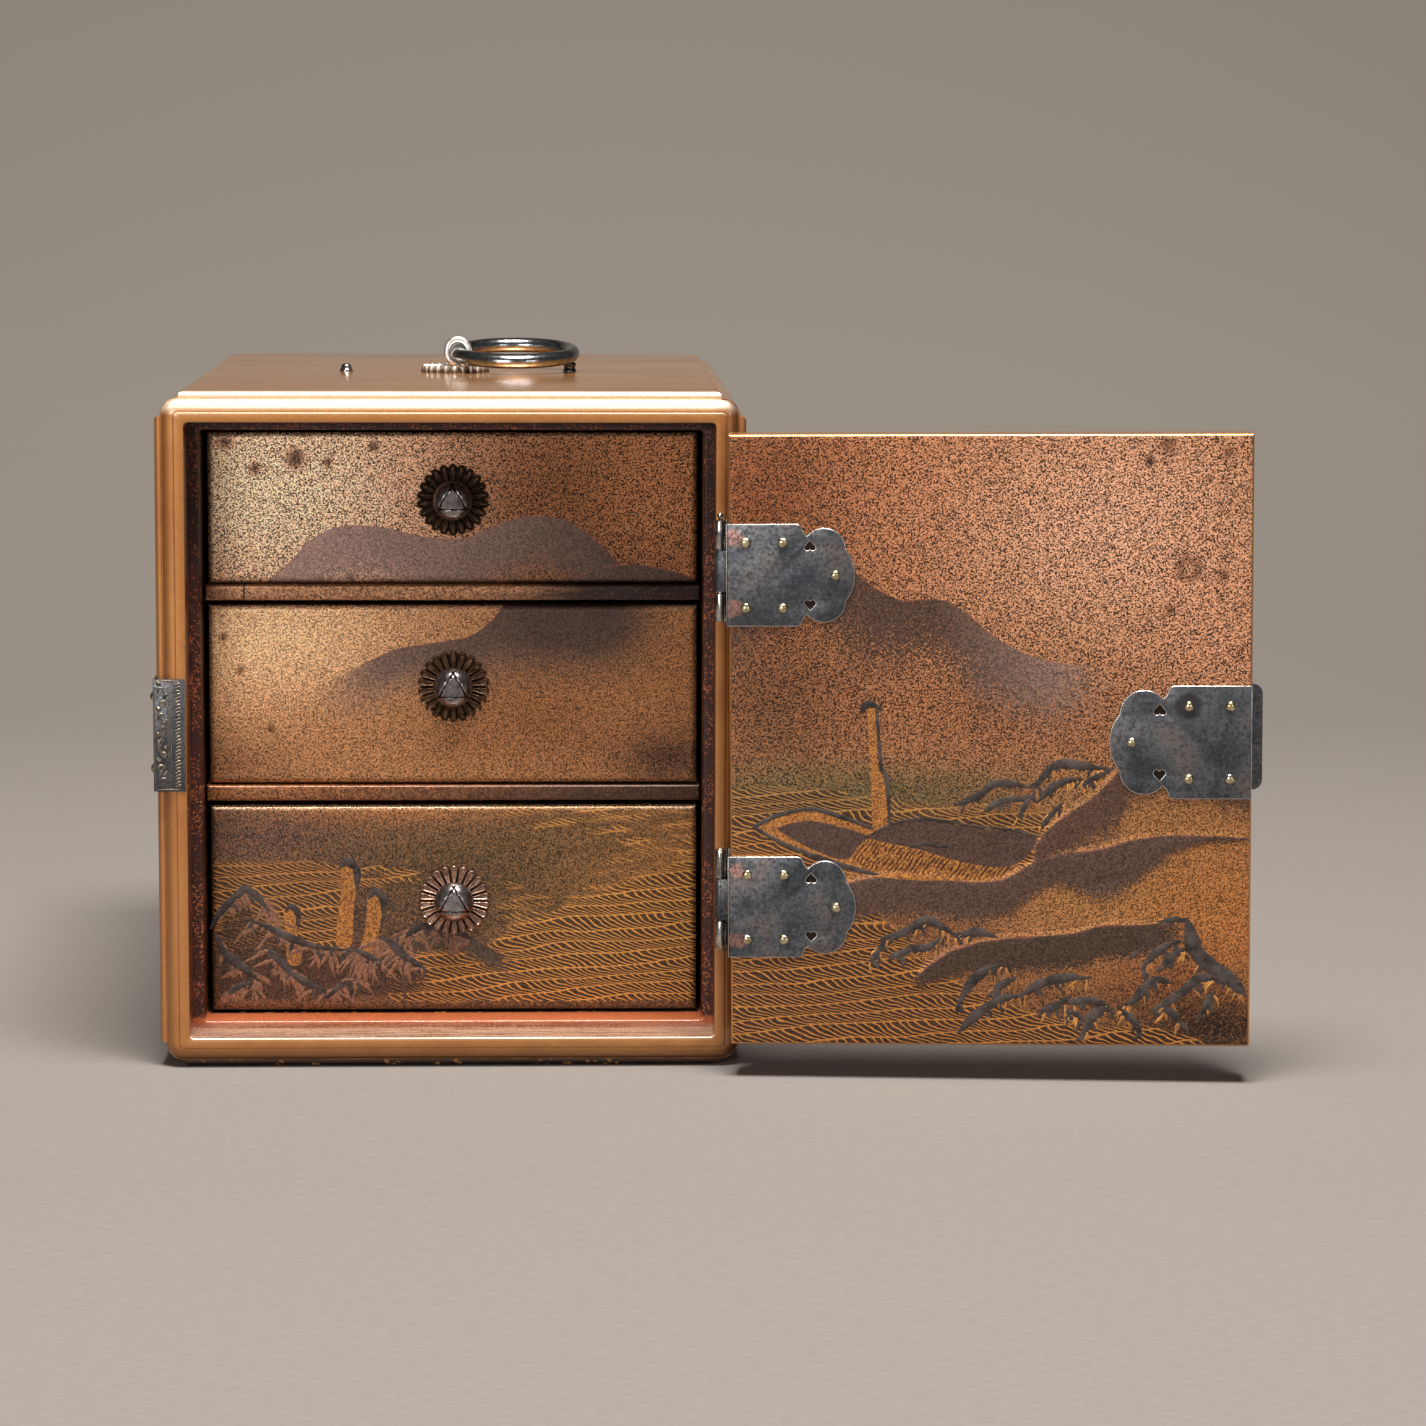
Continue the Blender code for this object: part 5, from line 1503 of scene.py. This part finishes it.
LOWER_BRANCHES = [
    ([(-42.4, 21.2), (-40.4, 24.4), (-37.2, 27.6), (-36.0, 28.2), (-33.6, 26.2), (-31.4, 22.4)], 0.60),
    ([(-41.8, 20.6), (-39.6, 16.6), (-36.0, 13.8), (-33.4, 11.4)], 0.70),
    ([(-36.0, 23.0), (-32.6, 21.6), (-29.0, 19.8), (-24.0, 18.0), (-17.2, 17.2)], 0.55),
    ([(-32.8, 18.2), (-29.6, 14.6), (-26.4, 12.0), (-21.8, 10.0)], 0.62),
    ([(-17.6, 17.8), (-14.4, 16.0), (-12.4, 15.4)], 0.50),
    ([(-13.2, 19.6), (-11.2, 18.8), (-8.6, 16.4), (-4.8, 13.8)], 0.66),
    ([(-9.6, 18.8), (-6.6, 21.2), (-3.6, 21.4), (1.0, 20.2), (4.2, 18.6)], 0.55),
    ([(-22.6, 8.8), (-19.6, 11.2), (-16.8, 12.4)], 0.50),
    ([(-40.0, 9.0), (-37.4, 11.2), (-34.6, 11.8)], 0.46),
]
POST_CAPS = [
    ([(-20.0, 31.6), (-18.8, 33.0), (-17.0, 31.8), (-16.9, 28.0)], 0.62),
    ([(-15.0, 26.4), (-13.8, 27.8), (-12.3, 26.4), (-12.6, 23.6)], 0.58),
    ([(-29.4, 24.2), (-28.4, 25.2), (-27.2, 24.0), (-27.2, 21.2)], 0.46),
]


def drawer_lines(ink, copper):
    """The leaves, the branches and the caps of the posts on the lower drawer."""
    place = upright(DRAWER_FACE - 0.02)
    leaves = strands(LOWER_BRANCHES, 7, 30, (2.0, 5.6), (196, 338), (0.18, 0.34), 8.0)
    leaves = brush("drawer_lower_foliage", between(leaves, -41.2, 3), 0.12, place, copper)
    twigs = strands(LOWER_BRANCHES, 8, 8, (1.4, 3.6), (210, 330), (0.16, 0.34), 8.0)
    strokes = LOWER_BRANCHES + POST_CAPS + between(twigs, -41.2, 2)
    lines = brush("drawer_lower_raised_lines", strokes, 0.13, place, ink)
    for piece in (leaves, lines):
        enter(piece, "drawer_lower", "flaked_lacquer")


# Metal plates


def cloud_edge(length, height, start=0.0):
    """Half-round lobes at the far end of a plate: (distance from its straight edge, height) points."""
    notch = (length - 0.47 * height, 0.385 * height)
    lobe = (length - 0.305 * height, 0.245 * height)
    lobe_radius = math.dist(notch, lobe)
    end_radius = 0.40 * height
    end = length - end_radius
    gap = math.dist(lobe, (end, 0))
    along = (gap**2 + lobe_radius**2 - end_radius**2) / (2 * gap)
    towards = math.atan2(-lobe[1], end - lobe[0])
    meeting = towards + math.acos(along / lobe_radius)
    first = math.atan2(notch[1] - lobe[1], notch[0] - lobe[0])
    half = [(start, height / 2)]
    for back, level in ((0.095, 0.5), (0.065, 0.49), (0.05, 0.47), (0.042, 0.44), (0.025, 0.41)):
        half.append((notch[0] - back * height, level * height))
    for angle in np.linspace(first, meeting, 18):
        half.append((lobe[0] + lobe_radius * math.cos(angle), lobe[1] + lobe_radius * math.sin(angle)))
    last = math.atan2(half[-1][1], half[-1][0] - end)
    for angle in np.linspace(last, 0, 12)[1:-1]:
        half.append((end + end_radius * math.cos(angle), end_radius * math.sin(angle)))
    return half + [(length, 0)] + [(u, -v) for u, v in reversed(half)]


def heart_holes(length, height):
    """The outlines of the two heart-shaped holes in a plate."""
    size = 0.052 * height
    middle = (length - 0.44 * height, 0.285 * height)
    heart = [(0, 1.0)]
    for angle in np.radians(np.linspace(45, -135, 9)):
        heart.append((0.5 + 0.5 * math.cos(angle), -0.3 + 0.5 * math.sin(angle)))
    heart.append((0, -0.45))
    heart += [(-u, v) for u, v in reversed(heart[1:-1])]
    return [[(middle[0] + u * size, side * (middle[1] + v * size)) for u, v in heart] for side in (1, -1)]


def sheet(name, outlines, thickness, place, bevel=0.13):
    """A flat plate cut to its outlines, the later ones holes, with its back at local z = 0."""
    bpy.ops.curve.primitive_nurbs_path_add()
    piece = fresh(name)
    data = piece.data
    data.splines.clear()
    data.dimensions = "2D"
    data.fill_mode = "BOTH"
    data.bevel_depth = bevel * MM
    data.bevel_resolution = 2
    data.offset = -bevel * MM
    data.extrude = (thickness / 2 - bevel) * MM
    for outline in outlines:
        spline = data.splines.new("POLY")
        spline.points.add(len(outline) - 1)
        spline.use_cyclic_u = True
        for point, (u, v) in zip(spline.points, outline):
            point.co = (u * MM, v * MM, 0, 1)
    only(piece)
    bpy.ops.object.convert(target="MESH")
    piece = bpy.context.object
    settle(piece, place @ Matrix.Translation((0, 0, thickness / 2 * MM)))
    return weld(piece)


def facing(edge, inwards, depth, middle):
    """A place flat on the closed front, its straight edge at x = edge, u inwards and z to the viewer."""
    turn = TOWARDS_FRONT.copy()
    turn[0][0] = inwards
    return Matrix.Translation((edge * MM, (FRONT + depth) * MM, middle * MM)) @ turn


def sideways(x, middle, sign):
    """A place flat on the case's side: u runs backwards, v up, z outwards."""
    return Matrix(((0, 0, sign, x * MM), (1, 0, 0, FRONT * MM), (0, 1, 0, middle * MM), (0, 0, 0, 1)))


def barrel(low, high):
    """One bored knuckle on the hinge's axis, with eased ends."""
    bpy.ops.mesh.primitive_cylinder_add(vertices=40, radius=BARREL_RADIUS * MM, depth=(high - low) * MM)
    piece = fresh("knuckle")
    pick(piece, "faces", lambda face: abs(face.normal.z) > 0.9)
    bpy.ops.mesh.inset(thickness=0.42 * MM)
    bpy.ops.mesh.bridge_edge_loops()
    done()
    if any(abs(face.normal.z) > 0.9 and len(face.vertices) > 8 for face in piece.data.polygons):
        pick(piece, "faces", lambda face: len(face.vertices) > 8)
        bpy.ops.mesh.delete(type="FACE")
        done()
        rims = 0.62 * MM
        pick(piece, "edges", lambda edge: all(math.hypot(co.x, co.y) < rims for co in ends(piece, edge)))
        bpy.ops.mesh.bridge_edge_loops()
        done()
    settle(piece, AXIS @ Matrix.Translation((0, 0, (low + high) / 2 * MM)))
    ease_edges(piece, 0.08)
    return weld(piece)


def spans(middle):
    """Where the bottom, centre and top knuckles lie on the axis: (low, high)."""
    height = HINGE_PLATE[1]
    low = middle - DOOR_MIDDLE - height / 2
    found = []
    for share in (0.28, 0.41, 0.28):
        found.append((low, low + share * height))
        low += share * height + 0.015 * height
    return found


def leaf(name, length, place, start=0.0, height=HINGE_PLATE[1]):
    """A cloud-ended plate with its two hearts, put in its place."""
    return sheet(name, [cloud_edge(length, height, start), *heart_holes(length, height)], PLATE, place)


def hinge_pieces(silver, bright, rim):
    """Each hinge: a leaf that clasps the door's edge, a leaf bent round the case's side, and the pin."""
    length, height = HINGE_PLATE
    outer_face, inner_face = FRONT - GAP, FRONT + DOOR_THICKNESS + GAP
    for level, middle in HINGE_MIDDLES.items():
        low, high = middle - height / 2, middle + height / 2
        bottom, centre, top = spans(middle)
        place = facing(LEAF_EDGE, -1, DOOR_THICKNESS + GAP + PLATE, middle)
        inner = leaf(f"hinge_{level}_inner", length, place)
        outer = leaf(f"hinge_{level}_outer", length, facing(LEAF_EDGE, -1, -GAP, middle))
        near, far = (DOOR_HALF + GAP, outer_face - PLATE, low), (LEAF_EDGE, inner_face + PLATE, high)
        strip = block(f"hinge_{level}_edge", near, far)
        ease_edges(strip, 0.08)
        near = (LEAF_EDGE - 0.2, outer_face - PLATE, DOOR_MIDDLE + centre[0])
        tab = block(f"hinge_{level}_tab", near, (AXIS_X, outer_face, DOOR_MIDDLE + centre[1]))
        ease_edges(tab, 0.05)
        door_leaf = unite(f"door_hinge_{level}_leaf", [inner, outer, strip, tab, barrel(*centre)])
        settle(door_leaf, OPEN)
        wear(door_leaf, silver)
        wear(door_leaf, rim, on_rim_of_plate)

        limb = leaf(f"case_{level}_side", HINGE_LIMB[0], sideways(SIDE, middle, 1), -0.2)
        near, far = (AXIS_X + 1.2, outer_face - PLATE, low), (SIDE + PLATE, outer_face, high)
        front_limb = block(f"case_{level}_front", near, far)
        ease_edges(front_limb, 0.08)
        tabs = []
        for low, high in (bottom, top):
            near = (AXIS_X, outer_face - PLATE, DOOR_MIDDLE + low)
            tab = block(f"case_{level}_tab", near, (AXIS_X + 1.4, outer_face, DOOR_MIDDLE + high))
            tabs.append(ease_edges(tab, 0.05))
        knuckles = [barrel(*bottom), barrel(*top)]
        case_leaf = unite(f"case_hinge_{level}_leaf", [limb, front_limb, *tabs, *knuckles])
        wear(case_leaf, silver)
        wear(case_leaf, bright, lambda face: off_axis(face.center) < 1.3 * MM)

        pin = pin_piece(f"hinge_pin_{level}_ball", middle, level == "upper")
        wear(pin, bright)
        for piece in (door_leaf, case_leaf, pin):
            smooth(piece)
        enter(door_leaf, "door", "dark_silver", f"door_hinge_{level}")
        enter(case_leaf, "case", "dark_silver", f"case_hinge_{level}")
        enter(pin, "case", "dark_silver", f"hinge_pin_{level}")


def off_axis(spot):
    """How far a spot (m) is from the hinge's axis."""
    local = AXIS.inverted() @ spot
    return math.hypot(local.x, local.y)


def on_rim_of_plate(face):
    """The eased edge of a plate on the open door, where handling keeps it bright."""
    way = OPEN.inverted().to_3x3() @ face.normal
    spot = OPEN.inverted() @ face.center / MM
    return 0.2 < abs(way.y) < 0.98 and spot.y > FRONT + DOOR_THICKNESS and spot.x < LEAF_EDGE + 0.1


FINIALS = {
    "ball": ((0.27, 0.27), (0.40, 0.10), (0.52, 0.16), (0.55, 0.18), (0.52, 0.18), (0.40, 0.17), (0.2, 0.10)),
    "dome": ((0.40, 0.06), (0.2, 0.04)),
}


def pin_piece(name, middle, ball):
    """A pin with a small ball above the barrel, or a low dome where the ball is missing."""
    bpy.ops.mesh.primitive_cylinder_add(vertices=24, radius=PIN_RADIUS * MM, depth=HINGE_PLATE[1] * MM)
    pin = fresh(name)
    pick(pin, "faces", lambda face: face.normal.z > 0.9)
    grow_up(FINIALS["ball" if ball else "dome"], PIN_RADIUS)
    done()
    return settle(pin, AXIS @ Matrix.Translation((0, 0, (middle - DOOR_MIDDLE) * MM)))


def lock_pieces(silver, rim):
    """The plate inside the door, and the hasp outside, which reaches past the door's edge."""
    length, height = LOCK_PLATE
    place = facing(-DOOR_HALF, 1, DOOR_THICKNESS + GAP + PLATE, DOOR_MIDDLE)
    inner = leaf("lock_plate_cloud", length, place, height=height)
    settle(inner, OPEN)
    wear(inner, silver)
    wear(inner, rim, on_rim_of_plate)
    smooth(inner)
    enter(inner, "door", "dark_silver", "lock_plate_inner")

    length, height = HASP_PLATE
    reach, corner_radius, thickness = 0.5, 1.7, 0.45
    corner = []
    for angle in np.radians(np.linspace(180, 270, 10))[:-1]:
        u = -reach + corner_radius * math.cos(angle)
        corner.append((u, -height / 2 + corner_radius + corner_radius * math.sin(angle)))
    outline = cloud_edge(length, height, -reach) + list(reversed(corner)) + [(u, -v) for u, v in corner]
    place = facing(-DOOR_HALF, 1, -thickness, DOOR_MIDDLE)
    plate = sheet("lock_hasp_plate", [outline], thickness, place, 0.1)
    place = facing(-DOOR_HALF, 1, -GAP, DOOR_MIDDLE)
    pad = sheet("lock_hasp_pad", [cloud_edge(length, height, 0.35)], 0.5, place, 0.02)
    hasp = unite("lock_hasp_plates", [plate, pad])
    settle(hasp, OPEN)
    wear(hasp, silver)
    smooth(hasp)
    enter(hasp, "door", "dark_silver", "lock_hasp")


def keeper_piece(silver, chased):
    """The keeper: a braid and a scroll chased on its front, bent round to a cloud-shaped side limb."""
    length, height = KEEPER_LIMB
    low, high = DOOR_MIDDLE - height / 2, DOOR_MIDDLE + height / 2
    sunk = 0.16 - GAP - PLATE
    front = block("keeper_front", (-SIDE - PLATE, FRONT + sunk, low), (-44.95, FRONT - GAP, high))
    ease_edges(front, 0.09)
    limb = leaf("keeper_side", length, sideways(-SIDE, DOOR_MIDDLE, -1), -0.2, height)
    strokes = []
    for x in (-45.15, -47.35, -47.75, -50.15):
        strokes.append(([(x, low + 0.2), (x, DOOR_MIDDLE), (x, high - 0.2)], 0.10))
    for z in (low + 0.35, high - 0.35):
        strokes.append(([(-50.0, z), (-47.5, z), (-45.2, z)], 0.10))
    for z in np.linspace(low + 0.9, high - 0.9, 30):
        strokes.append(([(-46.85, z - 0.3), (-46.35, z + 0.02), (-45.7, z + 0.26)], 0.17))
    stem = -48.95
    vine = [(stem + 0.55 * math.sin(z * 1.1), z) for z in np.linspace(low + 0.8, high - 0.8, 26)]
    strokes.append((vine, 0.2))
    for number in range(8):
        z = low + 1.7 + number * 2.2
        way = 1 if number % 2 else -1
        curl = []
        for angle, radius in zip(np.radians([0, 70, 140, 210, 280]), (0.2, 0.5, 0.7, 0.62, 0.4)):
            curl.append((stem + way * radius * math.cos(angle), z + radius * math.sin(angle)))
        strokes.append((curl, 0.19))
        blade = [(stem - way * 0.15, z + 1.0), (stem - way * 0.55, z + 1.35), (stem - way * 0.85, z + 1.9)]
        strokes.append((blade, 0.3))
    relief = brush("keeper_chasing", strokes, 0.5, upright(sunk + 0.02), chased)
    keeper = unite("lock_keeper_plate", [front, limb])
    wear(keeper, silver)
    smooth(keeper)
    enter(keeper, "case", "dark_silver", "lock_keeper")
    enter(relief, "case", "dark_silver")


def nail_spots(length, height):
    """Where a plate's five nails sit: two pairs, and one at the far end."""
    places = [(0.19 * height, 0.32 * height), (0.55 * height, 0.32 * height)]
    places += [(u, -v) for u, v in places]
    return places + [(length - 0.195 * height, 0)]


def nail_head(height):
    """One hammered dome of this height, a little out of true."""
    bpy.ops.mesh.primitive_uv_sphere_add(segments=28, ring_count=16, radius=NAIL_RADIUS * MM)
    head = fresh("nail_head")
    pick(head, "faces", lambda face: True)
    bpy.ops.mesh.bisect(plane_co=(0, 0, 0), plane_no=(0, 0, 1), clear_inner=True, use_fill=True)
    done()
    spots = spots_of(head)
    wobble = 1 + 0.05 * np.sin(3 * np.arctan2(spots[:, 1], spots[:, 0]) + 1)
    top = np.clip(spots[:, 2] / (NAIL_RADIUS * MM), 0, 1)
    spots[:, :2] *= (wobble * (1 + 0.02 * top))[:, None]
    spots[:, 2] = height * MM * (top**0.85)
    reshape(head, spots)
    return head


def nails(finish):
    """The heads on each plate, every one turned its own way."""
    rng = random.Random(3)
    inside_depth = DOOR_THICKNESS + PLATE + 2 * GAP
    outside_depth = -PLATE - 2 * GAP
    plates = [
        ("upper", LEAF_EDGE, -1, HINGE_PLATE, HINGE_MIDDLES["upper"], outside_depth),
        ("lower", LEAF_EDGE, -1, HINGE_PLATE, HINGE_MIDDLES["lower"], outside_depth),
        ("lock", -DOOR_HALF, 1, LOCK_PLATE, DOOR_MIDDLE, -2 * GAP - 0.85),
    ]
    head = nail_head(0.6)
    for plate, edge, inwards, size, middle, outer in plates:
        for face, depth, way in (("inner", inside_depth, -90), ("outer", outer, 90)):
            heads = []
            for number, (u, v) in enumerate(nail_spots(*size), 1):
                x = edge + inwards * u
                spot = Matrix.Translation((x * MM, (FRONT + depth) * MM, (middle + v) * MM))
                spin = Matrix.Rotation(rng.uniform(0, math.tau), 4, "Z")
                turn = Matrix.Rotation(math.radians(way), 4, "X") @ spin
                heads.append(twin(head, spot @ turn, f"head_{number}"))
            group = unite(f"nails_{plate}_{face}", heads)
            settle(group, OPEN)
            nail_group(group, finish, "door", f"nail_{plate}_{face}", 5)
    bpy.data.objects.remove(head, do_unlink=True)
    tall = nail_head(0.75)
    heads = []
    for number, (depth, v) in enumerate(nail_spots(*KEEPER_LIMB)[::2], 1):
        x = -50 - PLATE - 2 * GAP
        spot = Matrix.Translation((x * MM, (FRONT + depth) * MM, (DOOR_MIDDLE + v) * MM))
        heads.append(twin(tall, spot @ Matrix.Rotation(math.radians(-90), 4, "Y"), f"head_{number}"))
    bpy.data.objects.remove(tall, do_unlink=True)
    nail_group(unite("nails_keeper", heads), finish, "case", "nail_keeper", 3)


def nail_group(group, finish, body, node, count):
    """Finishes one plate's nails, which stand for that many numbered solids."""
    wear(group, finish)
    smooth(group, 50)
    enter(group, body, "pale_metal", *(f"{node}_{number}" for number in range(1, count + 1)))


# The handle


STUDS = {
    "left": ((1.08, 0.12), (0.98, 0.24), (0.93, 0.26), (0.82, 0.24), (0.62, 0.18), (0.3, 0.1), (0.1, 0.02)),
    "right": (
        (1.06, 0.22), (1.0, 0.2), (1.04, 0.2), (1.16, 0.22), (1.2, 0.15), (1.14, 0.2), (0.95, 0.2),
        (0.6, 0.18), (0.25, 0.06),
    ),
}


def round_wire(name, radius, wire, around, across):
    """A torus at the origin, radius and wire in millimetres."""
    bpy.ops.mesh.primitive_torus_add(
        major_segments=around, minor_segments=across, major_radius=radius * MM, minor_radius=wire * MM
    )
    return fresh(name)


def handle_pieces(polished, bright, petal_finish, stop_finish):
    """The ring, the staple that it hangs in with its flower, and the two studs that it comes to rest on."""
    centre = Matrix.Translation((0, 0, EYE_HEIGHT * MM))
    ring = round_wire("handle_ring_round", RING_RADIUS, RING_WIRE, 144, 32)
    spots = spots_of(ring)
    around = np.arctan2(spots[:, 1], spots[:, 0])
    spots[:, 2] *= 1 - 0.05 * np.exp(-(((np.abs(around) - math.pi) / 0.16) ** 2))
    reshape(ring, spots)
    lean = Matrix.Rotation(math.radians(5.5), 4, "X")
    settle(ring, centre @ lean @ Matrix.Translation((RING_RADIUS * MM, 0, 0)))
    wear(ring, polished)
    smooth(ring, 60)
    enter(ring, "ring", "dark_silver", "handle_ring")

    loop = round_wire("handle_eye_loop", EYE_RADIUS, EYE_WIRE, 56, 18)
    spots = spots_of(loop)
    spots[:, 1] += 0.5 * MM * haze(-spots[:, 1], -0.8 * MM, 0.2 * MM)
    reshape(loop, spots)
    settle(loop, centre @ TOWARDS_FRONT)
    foot = (0, 0, (EYE_HEIGHT - 2.2) * MM)
    bpy.ops.mesh.primitive_cylinder_add(vertices=32, radius=0.92 * MM, depth=0.8 * MM, location=foot)
    stem = fresh("stem")
    pick(stem, "faces", lambda face: face.normal.z > 0.9)
    bpy.ops.transform.resize(value=(0.68, 0.68, 1), center_override=foot)
    done()
    ease_edges(stem, 0.1)
    eye = unite("handle_eye_staple", [loop, stem])
    place = Matrix.Translation((-0.5 * MM, 0, (CASE_HEIGHT + GAP) * MM))
    flower = rosette_piece("handle_rosette_petals", place, petal_finish, 1.2)
    wear(eye, bright)
    smooth(eye, 50)
    enter(eye, "case", "pale_metal", "handle_eye")
    enter(flower, "case", "pale_metal", "handle_rosette")

    for side, x in (("left", -STUD_REACH * MM), ("right", STUD_REACH * MM)):
        foot = (x, 0, (CASE_HEIGHT + GAP + 0.15) * MM)
        bpy.ops.mesh.primitive_cylinder_add(
            vertices=40, radius=STUD_RADIUS * MM, depth=0.3 * MM, location=foot
        )
        stop = fresh(f"handle_stop_{side}_stud")
        pick(stop, "faces", lambda face: face.normal.z > 0.9)
        grow_up(STUDS[side], STUD_RADIUS, (x, 0, CASE_HEIGHT * MM))
        done()
        wear(stop, stop_finish[side])
        smooth(stop, 50)
        enter(stop, "case", "dark_silver", f"handle_stop_{side}")


# Making it all

camera()
studio()

gold = gold_lacquer()
dark = sprinkled_dark()
deep = plain_dark()
silver = dark_silver()
pale = bright_metal("pale_nail", (214, 202, 168), (150, 132, 98), (0.2, 0.38))
ink = raised_ink()

case_piece(gold, moulding_gold(), groove_lacquer(), dark, deep)
shelves(rail_lacquer())
purple = (shade(86, 66, 58), shade(166, 134, 122))
drawer_pieces(
    {
        "upper": picture_lacquer("upper_drawer_picture", [purple, purple], grit=2.5),
        "middle": picture_lacquer(
            "middle_drawer_picture", [(shade(82, 62, 54), shade(128, 100, 88))], blend=0.25
        ),
        "lower": picture_lacquer(
            "lower_drawer_picture",
            [(shade(68, 48, 40), shade(68, 48, 40)), (shade(84, 68, 58), shade(100, 84, 74))],
            (2.1, 1.35, 0.09, 4.2, shade(74, 54, 39), shade(204, 138, 72), shade(236, 166, 84)),
        ),
    },
    deep,
)
drawer_lines(ink, red_copper_paint())
pulls(
    {
        "upper": worked_metal("bronze_dark", (124, 100, 80), (60, 45, 35), (28, 20, 15), (0.36, 0.5)),
        "middle": worked_metal("bronze_brown", (156, 124, 98), (82, 60, 46), (38, 26, 19), (0.36, 0.5)),
        "lower": worked_metal("copper_pink", (228, 198, 178), (152, 118, 100), (62, 42, 33), (0.34, 0.48)),
    },
    worked_metal("knob_silver", (158, 152, 152), (96, 90, 90), (48, 42, 40), (0.18, 0.3)),
)
door_pieces(
    picture_lacquer(
        "door_picture",
        [
            (shade(84, 61, 50), shade(154, 124, 110)),
            (shade(92, 66, 54), shade(110, 84, 72)),
            (shade(92, 70, 60), shade(104, 82, 72)),
            (shade(80, 62, 52), shade(90, 72, 62)),
        ],
        (2.15, 1.5, 0.07, 4.6, shade(60, 40, 31), shade(206, 138, 68), shade(186, 136, 76)),
        glow=0.87,
        blend=0.8,
        grit=2.5,
    ),
    gold,
    ink,
    straw_paint(),
)
rim = bright_metal("rim_silver", (226, 222, 214), (150, 148, 146), (0.25, 0.4))
hinge_pieces(silver, bright_metal("pin_silver", (196, 192, 186), (110, 106, 104)), rim)
lock_pieces(silver, rim)
keeper_piece(silver, bright_metal("chased_silver", (140, 128, 114), (62, 57, 52), (0.32, 0.48)))
nails(pale)
handle_pieces(
    bright_metal("ring_silver", (166, 168, 172), (122, 124, 130), (0.16, 0.24)),
    bright_metal("bright_silver", (248, 244, 238), (206, 200, 192), (0.3, 0.45)),
    worked_metal("flower_silver", (240, 228, 216), (196, 178, 164), (120, 100, 84), (0.34, 0.5)),
    {
        "left": bright_metal("stud_silver", (186, 180, 172), (110, 104, 98)),
        "right": bright_metal("stud_dark", (96, 92, 92), (50, 48, 48)),
    },
)
